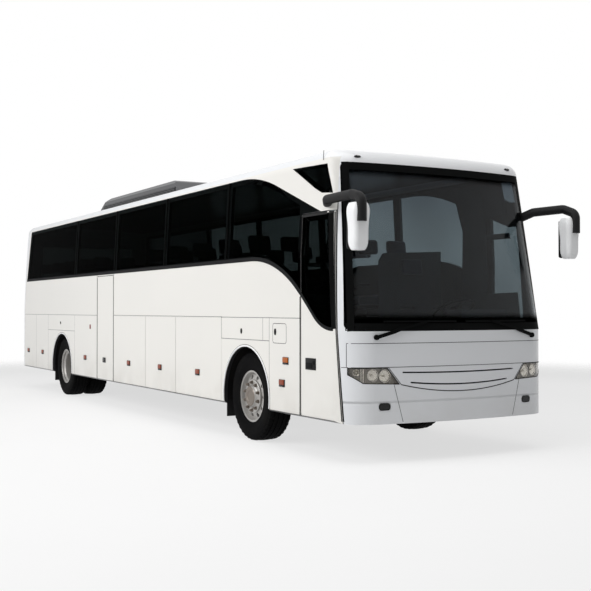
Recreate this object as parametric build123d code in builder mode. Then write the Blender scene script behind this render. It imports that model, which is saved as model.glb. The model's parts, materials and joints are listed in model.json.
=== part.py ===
"""Two-axle touring coach: hollow body of split panels, doors, flaps, steered front axle and twin rear wheels.

Frame: +Z up, the front faces -Y, the kerb side with the doors is -X. Stations are distances behind the nose.
"""
import os
from math import cos, radians, sin

from build123d import *

os.makedirs("parts", exist_ok=True)

# Body, all sizes in millimetres
BODY_LENGTH = 12100
BODY_WIDTH = 2550
WALL = 50
GLASS = 12
SKIRT_Z = 385
BELT_Z = 1400
SILL_Z = 2030
BAND_TOP_Z = 2985
EAVE_Z = 3085
ROOF_Z = 3150
TUMBLEHOME = 55
CANT_RADIUS = 170
TUCK_RADIUS = 45
MOVING_GAP = 10
RUNNING_GAP = 0.3
END_SHARE = 0.6

# Front end
NOSE_BOW_RADIUS = 7000
NOSE_CORNER_RADIUS = 330
SCREEN_RAKE = 0.2
SCREEN_BASE_Z = 1280
SCREEN_TOP_Z = 2950
SCREEN_BASE_HALF = 1240
SCREEN_TOP_HALF = 1145
SCREEN_REST = 70
SCREEN_CORNER_RADIUS = 60
HEADER_RADIUS = 170
HEADER_TURNS = [35, 60, 84]
NOSE_ROOF_RUN = 1000
NOSE_ROOF_RISE = 85
FRONT_SEAM = 250
FRONT_SEAM_LEAN = 0.085
CAP_SEAM = 650
CAP_SEAM_Z = 2800
ROOF_SEAM_Z = 3005
COWL_Z = 1165
LAMP_TOP_Z = 930
LAMP_OUTLINE = [(865, 930), (1222, 930), (1222, 860), (1110, 778), (728, 764)]
GRILLE_TOP_HALF = 855
GRILLE_LOW_HALF = 715
GRILLE_LOW_Z = 762
GRILLE_DIP_Z = 680
GRILLE_SLOTS = [(700, 862, 10), (610, 742, 30)]
SLOT_HEIGHT = 15
FOG_X = 896
FOG_Z = 553
FOG_WIDTH = 130
FOG_HEIGHT = 72
FOG_CORNER_RADIUS = 20
WIPER_LOW = 10
WIPER_HIGH = 28
WIPER_PIVOT_X = 985
WIPER_PIVOT_Z = 1222
WIPER_PIVOT_STATION = 75
WIPER_PIVOT_LENGTH = 70
WIPER_TIP_X = 470
WIPER_BLADE_X = 940
WIPER_BLADE_END_X = 40
WIPER_BLADE_Z = 1300
WIPER_ARM = 22

# Rear end
TAIL_BOW_RADIUS = 9000
TAIL_CORNER_RADIUS = 220
TAIL_RAKE = 0.15
TAIL_WAIST_Z = 1500
TAIL_HEADER_Z = 2960
TAIL_HEADER_RADIUS = 200
TAIL_ROOF_RUN = 400
TAIL_ROOF_RISE = 30
TAIL_DEPTH = 300
TAIL_SEAM = BODY_LENGTH - TAIL_DEPTH
REAR_WINDOW_LOW_Z = 2060
REAR_WINDOW_TOP_Z = 2800
REAR_WINDOW_HALF = 980
TAIL_LAMP_X = 1060
TAIL_LAMP_WIDTH = 180
TAIL_LAMP_LOW_Z = 780
TAIL_LAMP_TOP_Z = 1340

# Window band along each side
BAND_MARGIN = 60
BAND_FOOT = 408
SWEEP_RADIUS = 1700
SWEEP_ANGLE = 40
COVE_RADIUS = 547
TOP_SWEEP_START = 2500
TOP_SWEEP_RADIUS = 2600
TOP_SWEEP_ANGLE = 20.5
PANE_JOINT = 14
PANE_REST = 60
PANE_JOINTS = [1030, 2790, 4700, 6670, 8620]
QUARTER_WINDOW = [(1270, 2968), (565, 2940), (480, 2640), (650, 2655), (790, 2715)]
QUARTER_REST = 30

# Doors and flaps
DOOR_REAR = 1030
DOOR_TOP_Z = 2470
DOOR_EDGE = 12
MIDDLE_DOOR_TOP_Z = 2015
MIDDLE_DOOR_FRONT = 6690
MIDDLE_DOOR_REAR = 7460
DOOR_POST_X = 1100
DOOR_POST_RADIUS = 20
DOOR_ARM_LENGTH = 400
DOOR_ARM_HEIGHT = 60
DOOR_PIN_RADIUS = 12
BRACKET_WIDTH = 50
FRONT_ARM_HEIGHTS = [640, 2000]
MIDDLE_ARM_HEIGHTS = [640, 1800]
FRONT_POST = 570
MIDDLE_POST = 7290
POST_BRACKETS = [(FRONT_POST, DOOR_TOP_Z, 160), (MIDDLE_POST, MIDDLE_DOOR_TOP_Z, 178)]
FLAP_ENDS = [2890, 4290, 5370, 6690]
HINGE_BEAD_RADIUS = 5
HINGE_BEAD_INSET = 1.5
HINGE_BEAD_DROP = 2
LID_HALF = 850
LID_LOW_Z = 720
LID_TOP_Z = 1480
LID_HINGE_X = 260
LID_HINGE_LENGTH = 120
LID_HINGE_RADIUS = 9
LID_HINGE_PROUD = 7
LID_HINGE_DROP = 5.4
LID_SLOTS = 6
LID_SLOT_START = 120
LID_SLOT_PITCH = 60
LID_SLOT_HALF = 600
LID_SLOT_HEIGHT = 22

# Running gear
FRONT_AXLE = 2270
REAR_AXLE = 9350
TYRE_RADIUS = 505
TYRE_WIDTH = 295
TREAD_HALF = 133
CROWN_HALF = 105
SHOULDER_RADIUS = 490
SIDEWALL_RADIUS = 415
BEAD_HALF = 112
BEAD_RADIUS = 306
WHEEL_X = 1067
TWIN_SPACING = 335
RIM_RADIUS = 286
RIM_WALL = 12
FLANGE_RADIUS = 304
FLANGE_WIDTH = 10
DISC_ROOT = 70
DISC_CROWN = 96
BOLT_CIRCLE = 150
HUB_RADIUS = 112
HUB_IN = 20
HUB_OUT = 150
HUB_DEPTH = 60
HUB_PROUD = 130
DISH = -175
HAND_HOLES = 10
HAND_HOLE_CIRCLE = 222
HAND_HOLE_RADIUS = 27
ARCH_RADIUS = 565
HOUSING_RADIUS = 590
HOUSING_WALL = 15
HOUSING_LOW_Z = 420
FRONT_HOUSING_X = 600
REAR_HOUSING_X = 560
MUD_FLAP_LOW_Z = 225
KINGPIN_OFFSET = 100
KINGPIN_RADIUS = 20
KINGPIN_EYE = 60
EAR = 30
KNUCKLE_WEB_X = 65
SPINDLE_RADIUS = 45
SPINDLE_REACH = 74
REAR_SPINDLE_RADIUS = 60
AXLE_TUBE_RADIUS = 80
DIFFERENTIAL_RADIUS = 185
BEAM_HALF = 45
BEAM_DROP = 110
BEAM_DROP_X = 600
BELLOWS_RADIUS = 70
RAIL_X = 460
RAIL_WIDTH = 80
RAIL_LOW_Z = 700
RAIL_HEIGHT = 140
CROSS_WIDTH = 60
CROSS_MEMBERS = [(520, 880), (1600, 880), (2780, 1150), (7600, 1150), (8500, 1150), (10130, 1150)]
END_BEAM_HALF = 900
END_BEAM_DEPTH = 220
END_BEAM_HEIGHT = 120
FRAME_END_GAP = 150
TOW_INSET = 150
TOW_BORE_RADIUS = 25
JACK_STATIONS = [1500, 8300]
JACK_PAD = 120
ENGINE_START = 10160
ENGINE_LENGTH = 1450
ENGINE_HALF = 390
ENGINE_LOW_Z = 460
ENGINE_HEIGHT = 640

# Inside
FLOOR_Z = 1200
FLOOR_THICKNESS = 50
FLOOR_START = 1700
FLOOR_END = BODY_LENGTH - 350
PLATFORM_Z = 920
PLATFORM_START = 300
PLATE = 40
STEP_Z = 440
FRONT_TREADS = [(300, STEP_Z), (300, 680), (300, PLATFORM_Z)]
MIDDLE_TREADS = [(250, STEP_Z), (250, 693), (250, 947), (60, FLOOR_Z)]
STAIR_SIDE_GAP = 30
HOLD_FLOOR_Z = 470
HOLD_END_GAP = 30
SEAT_START = 1950
SEAT_ROWS = 12
SEAT_PITCH = 800
SEAT_WIDTH = 880
SEAT_GAP = 30
SEAT_OUTLINE = [(0, 340), (0, 440), (400, 460), (520, 1150), (610, 1140), (530, 360), (320, 340), (320, 0),
                (160, 0), (160, 340)]
DRIVER_X = 600
DRIVER_SEAT_START = 1110
DRIVER_SEAT_WIDTH = 500
DASH_KERB_X = 900
DASH_FOOT = 420
DASH_REAR = 620
DASH_LIP_Z = 1180
DASH_TOP_Z = 1400
BINNACLE_WIDTH = 620
BINNACLE_DEPTH = 260
BINNACLE_RISE = 90
STEERING_STATION = 880
STEERING_Z = 1480
STEERING_TILT = 30
STEERING_RADIUS = 225
STEERING_GRIP = 15
STEERING_GRIP_SIDES = 8
STEERING_HUB = 60
STEERING_SPOKE = 40

# Roof unit, lamps and mirrors
UNIT_FRONT = 4850
UNIT_REAR = 8850
UNIT_HALF = 860
UNIT_TOP_Z = 3340
UNIT_NOSE = 540
UNIT_TAIL = 660
UNIT_BEVEL = 55
MARKER_PROUD = 8
MARKER_LENGTH = 75
MARKER_HEIGHT = 62
MARKER_Z = 710
MARKERS = [(1410, MARKER_Z), (8050, MARKER_Z), (10550, MARKER_Z), (11520, MARKER_Z), (1330, 950)]
ROOF_MARKER_X = 966
ROOF_MARKER_STATION = 430
ROOF_MARKER_Z = 3008
ROOF_MARKER_LENGTH = 80
ROOF_MARKER_DEPTH = 30
MIRROR_X = 1410
MIRROR_SECTIONS = [(2030, 118, 106), (2055, 142, 132), (2230, 164, 156), (2410, 180, 170), (2462, 150, 140)]
MIRROR_ROUND = 45
KERB_MIRROR_STATION = -265
DRIVER_MIRROR_STATION = -60
ARM_RADIUS = 47
ARM_BEND = 75
ARM_TIP = -345
KERB_ARM = [(-1180, 640, 2545), (-1375, 330, 2550), (-1415, -180, 2550), (-1425, ARM_TIP, 2505),
            (-1425, ARM_TIP, 2290)]
DRIVER_ARM = [(1100, 540, 2440), (1225, 290, 2545), (1395, 10, 2565), (1425, -138, 2505), (1425, -138, 2300)]

HALF_WIDTH = BODY_WIDTH / 2
MIRROR_REACH = ARM_RADIUS - ARM_TIP
NOSE_Y = (MIRROR_REACH - BODY_LENGTH - LID_HINGE_PROUD) / 2
TAIL_Y = NOSE_Y + BODY_LENGTH
INNER_X = HALF_WIDTH - WALL
REACH = BODY_LENGTH
KERB, DRIVER = -1, 1
FRONT, REAR = 1, -1


def at(station):
    """Y coordinate of a distance behind the nose."""
    return NOSE_Y + station


def save(block, label):
    """Label a finished piece and write it to its own file."""
    block.part.label = label
    export_step(block.part, f"parts/{label}.step")


def end_outline(inset, tip_y, bow, corner, inward):
    """Plan outline of one end: a bowed face, two round corners and straight sides towards the middle."""
    half = HALF_WIDTH - inset
    tip = tip_y + inward * inset
    side = tip + inward * (bow - (bow**2 - half**2) ** 0.5)
    far = tip_y + inward * BODY_LENGTH * END_SHARE
    with BuildSketch(Plane.XY) as outline:
        with BuildLine():
            ThreePointArc((-half, side), (0, tip), (half, side))
            Polyline((half, side), (half, far), (-half, far), (-half, side))
        make_face()
        corners = outline.vertices().group_by(Axis.Y)[0 if inward > 0 else -1]
        fillet(corners, corner - inset)
    return outline.face()


def end_solid(inset, low, tip_y, bow, corner, rake, waist_z, header_z, header_radius, roof_slope, inward):
    """One end of the body: upright to the waist, raked to the header, rolled over and climbing to the roof."""
    face = end_outline(inset, tip_y, bow, corner, inward)
    rise = header_z - waist_z
    roll = header_radius - inset
    start = (1 + 1 / rake**2) ** -0.5
    with BuildPart() as end:
        add(Solid.extrude(face.moved(Location((0, 0, low))), Vector(0, 0, waist_z - low)))
        raked = Vector(0, inward * rake * rise, rise)
        add(Solid.extrude(face.moved(Location((0, 0, waist_z))), raked))
        turns = [start] + [sin(radians(turn)) for turn in HEADER_TURNS]
        rings = []
        for turn in turns:
            back = rake * rise + roll * ((1 - start**2) ** 0.5 - (1 - turn**2) ** 0.5)
            rings.append(face.moved(Location((0, inward * back, header_z + roll * (turn - start)))))
        loft(rings)
        run, climb = roof_slope
        crest = Vector(0, inward * run, climb)
        add(Solid.extrude(rings[-1], crest))
        add(Solid.extrude(rings[-1].moved(Location(crest)), Vector(0, 0, ROOF_Z - header_z)))
    return end.part


def envelope(inset, open_below):
    """Outside of the body moved in by a distance: both ends, trimmed by the cross-section."""
    half = HALF_WIDTH - inset
    low = SKIRT_Z - TYRE_RADIUS if open_below else SKIRT_Z
    eave = EAVE_Z - inset
    front = end_solid(inset, low, NOSE_Y, NOSE_BOW_RADIUS, NOSE_CORNER_RADIUS, SCREEN_RAKE,
                      SCREEN_BASE_Z, SCREEN_TOP_Z, HEADER_RADIUS, (NOSE_ROOF_RUN, NOSE_ROOF_RISE), 1)
    rear = end_solid(inset, low, TAIL_Y, TAIL_BOW_RADIUS, TAIL_CORNER_RADIUS, TAIL_RAKE,
                     TAIL_WAIST_Z, TAIL_HEADER_Z, TAIL_HEADER_RADIUS, (TAIL_ROOF_RUN, TAIL_ROOF_RISE), -1)
    with BuildPart() as ends:
        add(split(front, bisect_by=Plane.XZ, keep=Keep.TOP, mode=Mode.PRIVATE))
        add(split(rear, bisect_by=Plane.XZ, keep=Keep.BOTTOM, mode=Mode.PRIVATE))
    with BuildPart() as body:
        with BuildSketch(Plane.XZ) as section:
            with BuildLine():
                Polyline((-half, low), (-half, SILL_Z), (-half + TUMBLEHOME, eave))
                ThreePointArc((-half + TUMBLEHOME, eave), (0, ROOF_Z - inset), (half - TUMBLEHOME, eave))
                Polyline((half - TUMBLEHOME, eave), (half, SILL_Z), (half, low), (-half, low))
            make_face()
            fillet(section.vertices().group_by(Axis.Y)[-1], CANT_RADIUS - inset)
            if not open_below:
                fillet(section.vertices().group_by(Axis.Y)[0], TUCK_RADIUS)
        extrude(amount=BODY_LENGTH, both=True)
        add(ends.part, mode=Mode.INTERSECT)
    return body.part


def seam_station(z):
    """Station of the leaning seam between the front end and the side walls."""
    return FRONT_SEAM + FRONT_SEAM_LEAN * (z - SKIRT_Z)


def tail_station(z):
    """Station of the seam between the side walls and the rear wall, leaning with the rear face."""
    return TAIL_SEAM - TAIL_RAKE * max(0, z - TAIL_WAIST_Z)


def side_outline(*points):
    """Closed outline on the side of the body from stations and heights."""
    with BuildSketch(Plane.YZ) as outline:
        with BuildLine():
            Polyline(*[(at(station), z) for station, z in points], close=True)
        make_face()
    return outline.sketch


def side_box(start, end, low, high):
    """Upright rectangle on the side of the body."""
    return side_outline((start, low), (end, low), (end, high), (start, high))


def front_outline(*points):
    """Closed outline on the front or rear of the body from across and height."""
    with BuildSketch(Plane.XZ) as outline:
        with BuildLine():
            Polyline(*points, close=True)
        make_face()
    return outline.sketch


def window_band():
    """The dark band of side glass: level sill, swept down to the driver, with a falling front top edge."""
    drop_start_z = SILL_Z - SWEEP_RADIUS * (1 - cos(radians(SWEEP_ANGLE)))
    cove_rise = COVE_RADIUS * (1 - cos(radians(SWEEP_ANGLE)))
    drop_length = (drop_start_z - SCREEN_BASE_Z - cove_rise) / sin(radians(SWEEP_ANGLE))
    bends = (COVE_RADIUS + SWEEP_RADIUS) * sin(radians(SWEEP_ANGLE))
    sweep_start = BAND_FOOT + bends + drop_length * cos(radians(SWEEP_ANGLE))
    fall_start_z = BAND_TOP_Z - TOP_SWEEP_RADIUS * (1 - cos(radians(TOP_SWEEP_ANGLE)))
    fall_length = (fall_start_z - DOOR_TOP_Z) / sin(radians(TOP_SWEEP_ANGLE))
    with BuildSketch(Plane.YZ) as band:
        with BuildLine():
            sill = Line((at(tail_station(SILL_Z) - BAND_MARGIN), SILL_Z), (at(sweep_start), SILL_Z))
            sweep_down = JernArc(sill @ 1, (-1, 0), SWEEP_RADIUS, SWEEP_ANGLE)
            drop = PolarLine(sweep_down @ 1, drop_length, 180 + SWEEP_ANGLE)
            cove = JernArc(drop @ 1, drop % 1, COVE_RADIUS, -SWEEP_ANGLE)
            foot = Line(cove @ 1, (at(seam_station(SCREEN_BASE_Z) + BAND_MARGIN), SCREEN_BASE_Z))
            front = Line(foot @ 1, (at(seam_station(DOOR_TOP_Z) + BAND_MARGIN), DOOR_TOP_Z))
            top = Line((at(tail_station(BAND_TOP_Z) - BAND_MARGIN), BAND_TOP_Z),
                       (at(TOP_SWEEP_START), BAND_TOP_Z))
            fall_arc = JernArc(top @ 1, (-1, 0), TOP_SWEEP_RADIUS, TOP_SWEEP_ANGLE)
            fall = PolarLine(fall_arc @ 1, fall_length, 180 + TOP_SWEEP_ANGLE)
            Line(fall @ 1, front @ 1)
            Line(sill @ 0, top @ 0)
        make_face()
    return band.sketch


def inner_outline(outline, margin):
    """The outline moved in all round, for the opening behind a pane."""
    return offset(outline, amount=-margin, kind=Kind.INTERSECTION)


def skin_piece(outline, side):
    """Glass-thick piece of the outer skin inside an outline pushed out to one side."""
    with BuildPart() as piece:
        add(skin)
        extrude(outline, amount=side * REACH, mode=Mode.INTERSECT)
    return piece.part


def panel_piece(outline, side):
    """Wall-thick piece of the body inside an outline pushed out to one side."""
    with BuildPart() as piece:
        add(shell)
        extrude(outline, amount=side * REACH, mode=Mode.INTERSECT)
    return piece.part


def panel_across(outline):
    """Wall-thick piece of the body inside a side outline, right across the body."""
    with BuildPart() as piece:
        add(shell)
        extrude(outline, amount=REACH, both=True, mode=Mode.INTERSECT)
    return piece.part


outer = envelope(0, False)
behind_glass = envelope(GLASS, True)
inside = envelope(WALL, True)

with BuildPart() as shell_block:
    add(outer)
    add(inside, mode=Mode.SUBTRACT)
shell = shell_block.part

with BuildPart() as skin_block:
    add(outer)
    add(behind_glass, mode=Mode.SUBTRACT)
skin = skin_block.part

with BuildPart() as wiper_space_block:
    add(envelope(-WIPER_HIGH, True))
    add(envelope(-WIPER_LOW, True), mode=Mode.SUBTRACT)
wiper_space = wiper_space_block.part

# Outlines of the side walls, the roof and the two ends
band = window_band()
quarter = side_outline(*QUARTER_WINDOW)
wall_field = side_outline(
    (seam_station(0), 0), (seam_station(ROOF_SEAM_Z), ROOF_SEAM_Z), (tail_station(ROOF_SEAM_Z), ROOF_SEAM_Z),
    (TAIL_SEAM, TAIL_WAIST_Z), (TAIL_SEAM, 0))
cap_field = side_outline(
    (-WALL, CAP_SEAM_Z), (seam_station(CAP_SEAM_Z), CAP_SEAM_Z), (seam_station(ROOF_SEAM_Z), ROOF_SEAM_Z),
    (CAP_SEAM, ROOF_SEAM_Z), (CAP_SEAM, 2 * ROOF_Z), (-WALL, 2 * ROOF_Z))
roof_field = side_box(CAP_SEAM, 2 * BODY_LENGTH, ROOF_SEAM_Z, 2 * ROOF_Z)
rear_field = side_outline(
    (TAIL_SEAM, 0), (TAIL_SEAM, TAIL_WAIST_Z), (tail_station(ROOF_SEAM_Z), ROOF_SEAM_Z),
    (2 * BODY_LENGTH, ROOF_SEAM_Z), (2 * BODY_LENGTH, 0))


def front_field(low, high):
    """Side outline of the front end between two heights, ahead of the leaning seam."""
    return side_outline((-WALL, low), (seam_station(low), low), (seam_station(high), high), (-WALL, high))


# Window panes, and the openings in the walls behind them
pane_spans = list(zip([0] + PANE_JOINTS, PANE_JOINTS + [BODY_LENGTH]))
pane_fields = [band & side_box(start + PANE_JOINT / 2, end - PANE_JOINT / 2, 0, ROOF_Z)
               for start, end in pane_spans]
pane_openings = [inner_outline(field, PANE_REST) for field in pane_fields]
quarter_opening = inner_outline(quarter, QUARTER_REST)
kerb_front_pane = band & side_box(0, PANE_JOINTS[1] - PANE_JOINT / 2, 0, ROOF_Z)
kerb_front_pane -= side_box(0, DOOR_REAR + PANE_JOINT / 2, 0, DOOR_TOP_Z + PANE_JOINT / 2)

# Doors and flaps with their openings
door_top = DOOR_TOP_Z - MOVING_GAP
door_rear = DOOR_REAR - MOVING_GAP
door_cut = side_outline(
    (seam_station(0), 0), (DOOR_REAR, 0), (DOOR_REAR, DOOR_TOP_Z), (seam_station(DOOR_TOP_Z), DOOR_TOP_Z))
door_field = side_outline(
    (seam_station(0) + MOVING_GAP, 0), (door_rear, 0), (door_rear, door_top),
    (seam_station(door_top) + MOVING_GAP, door_top))
door_glass_field = band & side_box(0, door_rear - DOOR_EDGE, 0, door_top - DOOR_EDGE)
door_opening = inner_outline(door_glass_field, PANE_REST)
middle_top = MIDDLE_DOOR_TOP_Z - MOVING_GAP
middle_cut = side_box(MIDDLE_DOOR_FRONT, MIDDLE_DOOR_REAR, 0, MIDDLE_DOOR_TOP_Z)
middle_field = side_box(MIDDLE_DOOR_FRONT + MOVING_GAP / 2, MIDDLE_DOOR_REAR - MOVING_GAP, 0, middle_top)
flap_cut = side_box(FLAP_ENDS[0], FLAP_ENDS[-1], 0, BELT_Z)
bead_x = HALF_WIDTH - HINGE_BEAD_INSET
bead_z = BELT_Z - HINGE_BEAD_DROP
flap_top = bead_z - HINGE_BEAD_RADIUS - RUNNING_GAP
flap_spans = list(zip(FLAP_ENDS, FLAP_ENDS[1:]))


def side_wall(side):
    """One side wall: arches, flap bay, and a flush rebate with an opening behind every pane."""
    with BuildPart() as wall:
        add(panel_piece(wall_field, side))
        for axle in (FRONT_AXLE, REAR_AXLE):
            with Locations((side * HALF_WIDTH, at(axle), TYRE_RADIUS)):
                Cylinder(ARCH_RADIUS, 4 * WALL, rotation=(0, 90, 0), mode=Mode.SUBTRACT)
        extrude(flap_cut, amount=side * REACH, mode=Mode.SUBTRACT)
        add(skin_piece(band, side), mode=Mode.SUBTRACT)
        add(skin_piece(quarter, side), mode=Mode.SUBTRACT)
        for opening in pane_openings[1:] + [quarter_opening]:
            extrude(opening, amount=side * REACH, mode=Mode.SUBTRACT)
        with Locations((side * bead_x, at((FLAP_ENDS[0] + FLAP_ENDS[-1]) / 2), bead_z)):
            Cylinder(HINGE_BEAD_RADIUS, FLAP_ENDS[-1] - FLAP_ENDS[0] - 2 * MOVING_GAP, rotation=(90, 0, 0))
    return wall.part


# Side walls
with BuildPart() as kerb_side_wall:
    add(side_wall(KERB))
    extrude(door_cut, amount=KERB * REACH, mode=Mode.SUBTRACT)
    extrude(middle_cut, amount=KERB * REACH, mode=Mode.SUBTRACT)
    for post, low, length in POST_BRACKETS:
        with Locations((-DOOR_POST_X + PLATE, at(post), low + DOOR_EDGE)):
            Box(length, 2 * PLATE, PLATE, align=(Align.MAX, Align.CENTER, Align.MIN))
        with Locations((-DOOR_POST_X, at(post), low)):
            Cylinder(DOOR_POST_RADIUS + RUNNING_GAP, 4 * PLATE, mode=Mode.SUBTRACT)
save(kerb_side_wall, "kerb_side_wall")

with BuildPart() as driver_side_wall:
    add(side_wall(DRIVER))
    extrude(pane_openings[0], amount=DRIVER * REACH, mode=Mode.SUBTRACT)
save(driver_side_wall, "driver_side_wall")

# Side glass
with BuildPart() as kerb_windows:
    for field in [kerb_front_pane] + pane_fields[2:] + [quarter]:
        add(skin_piece(field, KERB))
save(kerb_windows, "kerb_windows")

with BuildPart() as driver_windows:
    for field in pane_fields + [quarter]:
        add(skin_piece(field, DRIVER))
save(driver_windows, "driver_windows")

# Windscreen and rear window
with BuildSketch(Plane.XZ) as screen_sketch:
    with BuildLine():
        Polyline((-SCREEN_BASE_HALF, SCREEN_BASE_Z), (SCREEN_BASE_HALF, SCREEN_BASE_Z),
                 (SCREEN_TOP_HALF, SCREEN_TOP_Z), (-SCREEN_TOP_HALF, SCREEN_TOP_Z), close=True)
    make_face()
    fillet(screen_sketch.vertices(), SCREEN_CORNER_RADIUS)
screen_field = screen_sketch.sketch
screen_opening = inner_outline(screen_field, SCREEN_REST)
with BuildSketch(Plane.XZ) as rear_window_sketch:
    with Locations((0, (REAR_WINDOW_LOW_Z + REAR_WINDOW_TOP_Z) / 2)):
        RectangleRounded(2 * REAR_WINDOW_HALF, REAR_WINDOW_TOP_Z - REAR_WINDOW_LOW_Z, SCREEN_CORNER_RADIUS)
rear_window_field = rear_window_sketch.sketch
rear_window_opening = inner_outline(rear_window_field, PANE_REST)

screen_side = front_field(0, ROOF_SEAM_Z)
with BuildPart() as windscreen:
    add(skin_piece(screen_field, FRONT))
    extrude(screen_side, amount=REACH, both=True, mode=Mode.INTERSECT)
save(windscreen, "windscreen")

with BuildPart() as rear_window:
    add(skin_piece(rear_window_field, REAR))
save(rear_window, "rear_window")

# Roof, front cap and windscreen frame
with BuildPart() as roof:
    add(panel_across(roof_field))
save(roof, "roof")

with BuildPart() as front_cap:
    add(panel_across(cap_field))
    add(windscreen.part, mode=Mode.SUBTRACT)
    extrude(screen_opening, amount=FRONT * REACH, mode=Mode.SUBTRACT)
save(front_cap, "front_cap")

front_panel_field = front_field(COWL_Z, CAP_SEAM_Z)
with BuildPart() as front_panel:
    add(panel_across(front_panel_field))
    add(windscreen.part, mode=Mode.SUBTRACT)
    extrude(screen_opening, amount=FRONT * REACH, mode=Mode.SUBTRACT)
save(front_panel, "front_panel")

service_field = front_field(LAMP_TOP_Z, COWL_Z)
with BuildPart() as service_panel:
    add(panel_across(service_field))
save(service_panel, "service_panel")

# Headlamps, grille panel, fog lamps and bumper
lamp_fields = [front_outline(*[(side * x, z) for x, z in LAMP_OUTLINE]) for side in (KERB, DRIVER)]
with BuildSketch(Plane.XZ) as grille_sketch:
    with BuildLine():
        Polyline((-GRILLE_LOW_HALF, GRILLE_LOW_Z), (-GRILLE_TOP_HALF, LAMP_TOP_Z),
                 (GRILLE_TOP_HALF, LAMP_TOP_Z), (GRILLE_LOW_HALF, GRILLE_LOW_Z))
        ThreePointArc((GRILLE_LOW_HALF, GRILLE_LOW_Z), (0, GRILLE_DIP_Z), (-GRILLE_LOW_HALF, GRILLE_LOW_Z))
    make_face()
grille_field = grille_sketch.sketch
slot_fields = []
for half, z, sag in GRILLE_SLOTS:
    with BuildSketch(Plane.XZ) as slot_sketch:
        with BuildLine():
            slot_low = ThreePointArc((-half, z + sag), (0, z), (half, z + sag))
            high = z + SLOT_HEIGHT
            slot_top = ThreePointArc((half, high + sag), (0, high), (-half, high + sag))
            Line(slot_low @ 1, slot_top @ 0)
            Line(slot_top @ 1, slot_low @ 0)
        make_face()
    slot_fields.append(slot_sketch.sketch)
with BuildSketch(Plane.XZ) as fog_sketch:
    with Locations((-FOG_X, FOG_Z), (FOG_X, FOG_Z)):
        RectangleRounded(FOG_WIDTH, FOG_HEIGHT, FOG_CORNER_RADIUS)
fog_field = fog_sketch.sketch

bumper_field = front_field(0, LAMP_TOP_Z)
with BuildPart() as headlamps:
    for field in lamp_fields:
        add(panel_piece(field, FRONT))
    extrude(bumper_field, amount=REACH, both=True, mode=Mode.INTERSECT)
save(headlamps, "headlamps")

with BuildPart() as grille_panel:
    add(panel_piece(grille_field, FRONT))
    for field in slot_fields:
        extrude(field, amount=FRONT * REACH, mode=Mode.SUBTRACT)
save(grille_panel, "grille_panel")

with BuildPart() as fog_lamps:
    add(skin_piece(fog_field, FRONT))
save(fog_lamps, "fog_lamps")

with BuildPart() as front_bumper:
    add(panel_across(bumper_field))
    for field in lamp_fields + [grille_field]:
        extrude(field, amount=FRONT * REACH, mode=Mode.SUBTRACT)
    add(fog_lamps.part, mode=Mode.SUBTRACT)
save(front_bumper, "front_bumper")

# Rear wall, tail lamps and engine lid
with BuildSketch(Plane.XZ) as lid_cut_sketch:
    with Locations((0, (LID_LOW_Z + LID_TOP_Z) / 2)):
        Rectangle(2 * LID_HALF, LID_TOP_Z - LID_LOW_Z)
lid_cut = lid_cut_sketch.sketch
lid_axis_y = TAIL_Y + LID_HINGE_PROUD - LID_HINGE_RADIUS
lid_axis_z = LID_TOP_Z - LID_HINGE_DROP
lid_top = lid_axis_z - LID_HINGE_RADIUS - RUNNING_GAP
with BuildSketch(Plane.XZ) as lid_sketch:
    with Locations((0, (LID_LOW_Z + MOVING_GAP + lid_top) / 2)):
        Rectangle(2 * (LID_HALF - MOVING_GAP), lid_top - LID_LOW_Z - MOVING_GAP)
lid_field = lid_sketch.sketch
with BuildSketch(Plane.XZ) as tail_lamp_sketch:
    with Locations(*[(side * TAIL_LAMP_X, (TAIL_LAMP_LOW_Z + TAIL_LAMP_TOP_Z) / 2) for side in (KERB, DRIVER)]):
        RectangleRounded(TAIL_LAMP_WIDTH, TAIL_LAMP_TOP_Z - TAIL_LAMP_LOW_Z, FOG_CORNER_RADIUS)
tail_lamp_field = tail_lamp_sketch.sketch

with BuildPart() as tail_lamps:
    add(skin_piece(tail_lamp_field, REAR))
save(tail_lamps, "tail_lamps")

with BuildPart() as rear_wall:
    add(panel_across(rear_field))
    add(rear_window.part, mode=Mode.SUBTRACT)
    extrude(rear_window_opening, amount=REAR * REACH, mode=Mode.SUBTRACT)
    add(tail_lamps.part, mode=Mode.SUBTRACT)
    extrude(lid_cut, amount=REAR * REACH, mode=Mode.SUBTRACT)
    with Locations((-LID_HINGE_X, lid_axis_y, lid_axis_z), (LID_HINGE_X, lid_axis_y, lid_axis_z)):
        Cylinder(LID_HINGE_RADIUS, LID_HINGE_LENGTH, rotation=(0, 90, 0))
save(rear_wall, "rear_wall")

with BuildPart() as engine_lid:
    add(panel_piece(lid_field, REAR))
    for row in range(LID_SLOTS):
        with Locations((0, TAIL_Y, LID_LOW_Z + LID_SLOT_START + row * LID_SLOT_PITCH)):
            Box(2 * LID_SLOT_HALF, 4 * WALL, LID_SLOT_HEIGHT, mode=Mode.SUBTRACT)
save(engine_lid, "engine_lid")

# Luggage flaps, each with its side marker lamp standing a little proud
for side, side_name in ((KERB, "kerb"), (DRIVER, "driver")):
    for number, (start, end) in enumerate(flap_spans, 1):
        flap_field = side_box(start + MOVING_GAP / 2, end - MOVING_GAP / 2, 0, flap_top)
        with BuildPart() as luggage_flap:
            add(panel_piece(flap_field, side))
            with Locations((side * HALF_WIDTH, at((start + end) / 2), MARKER_Z)):
                Box(2 * MARKER_PROUD, MARKER_LENGTH, MARKER_HEIGHT)
        save(luggage_flap, f"luggage_flap_{side_name}_{number}")

# Entrance door: glazed leaf with two brackets, and a turning post with two arms
front_pin = FRONT_POST + DOOR_ARM_LENGTH
middle_pin = MIDDLE_POST - DOOR_ARM_LENGTH
with BuildPart() as front_door_glass:
    add(skin_piece(door_glass_field, KERB))
save(front_door_glass, "front_door_glass")


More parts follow.
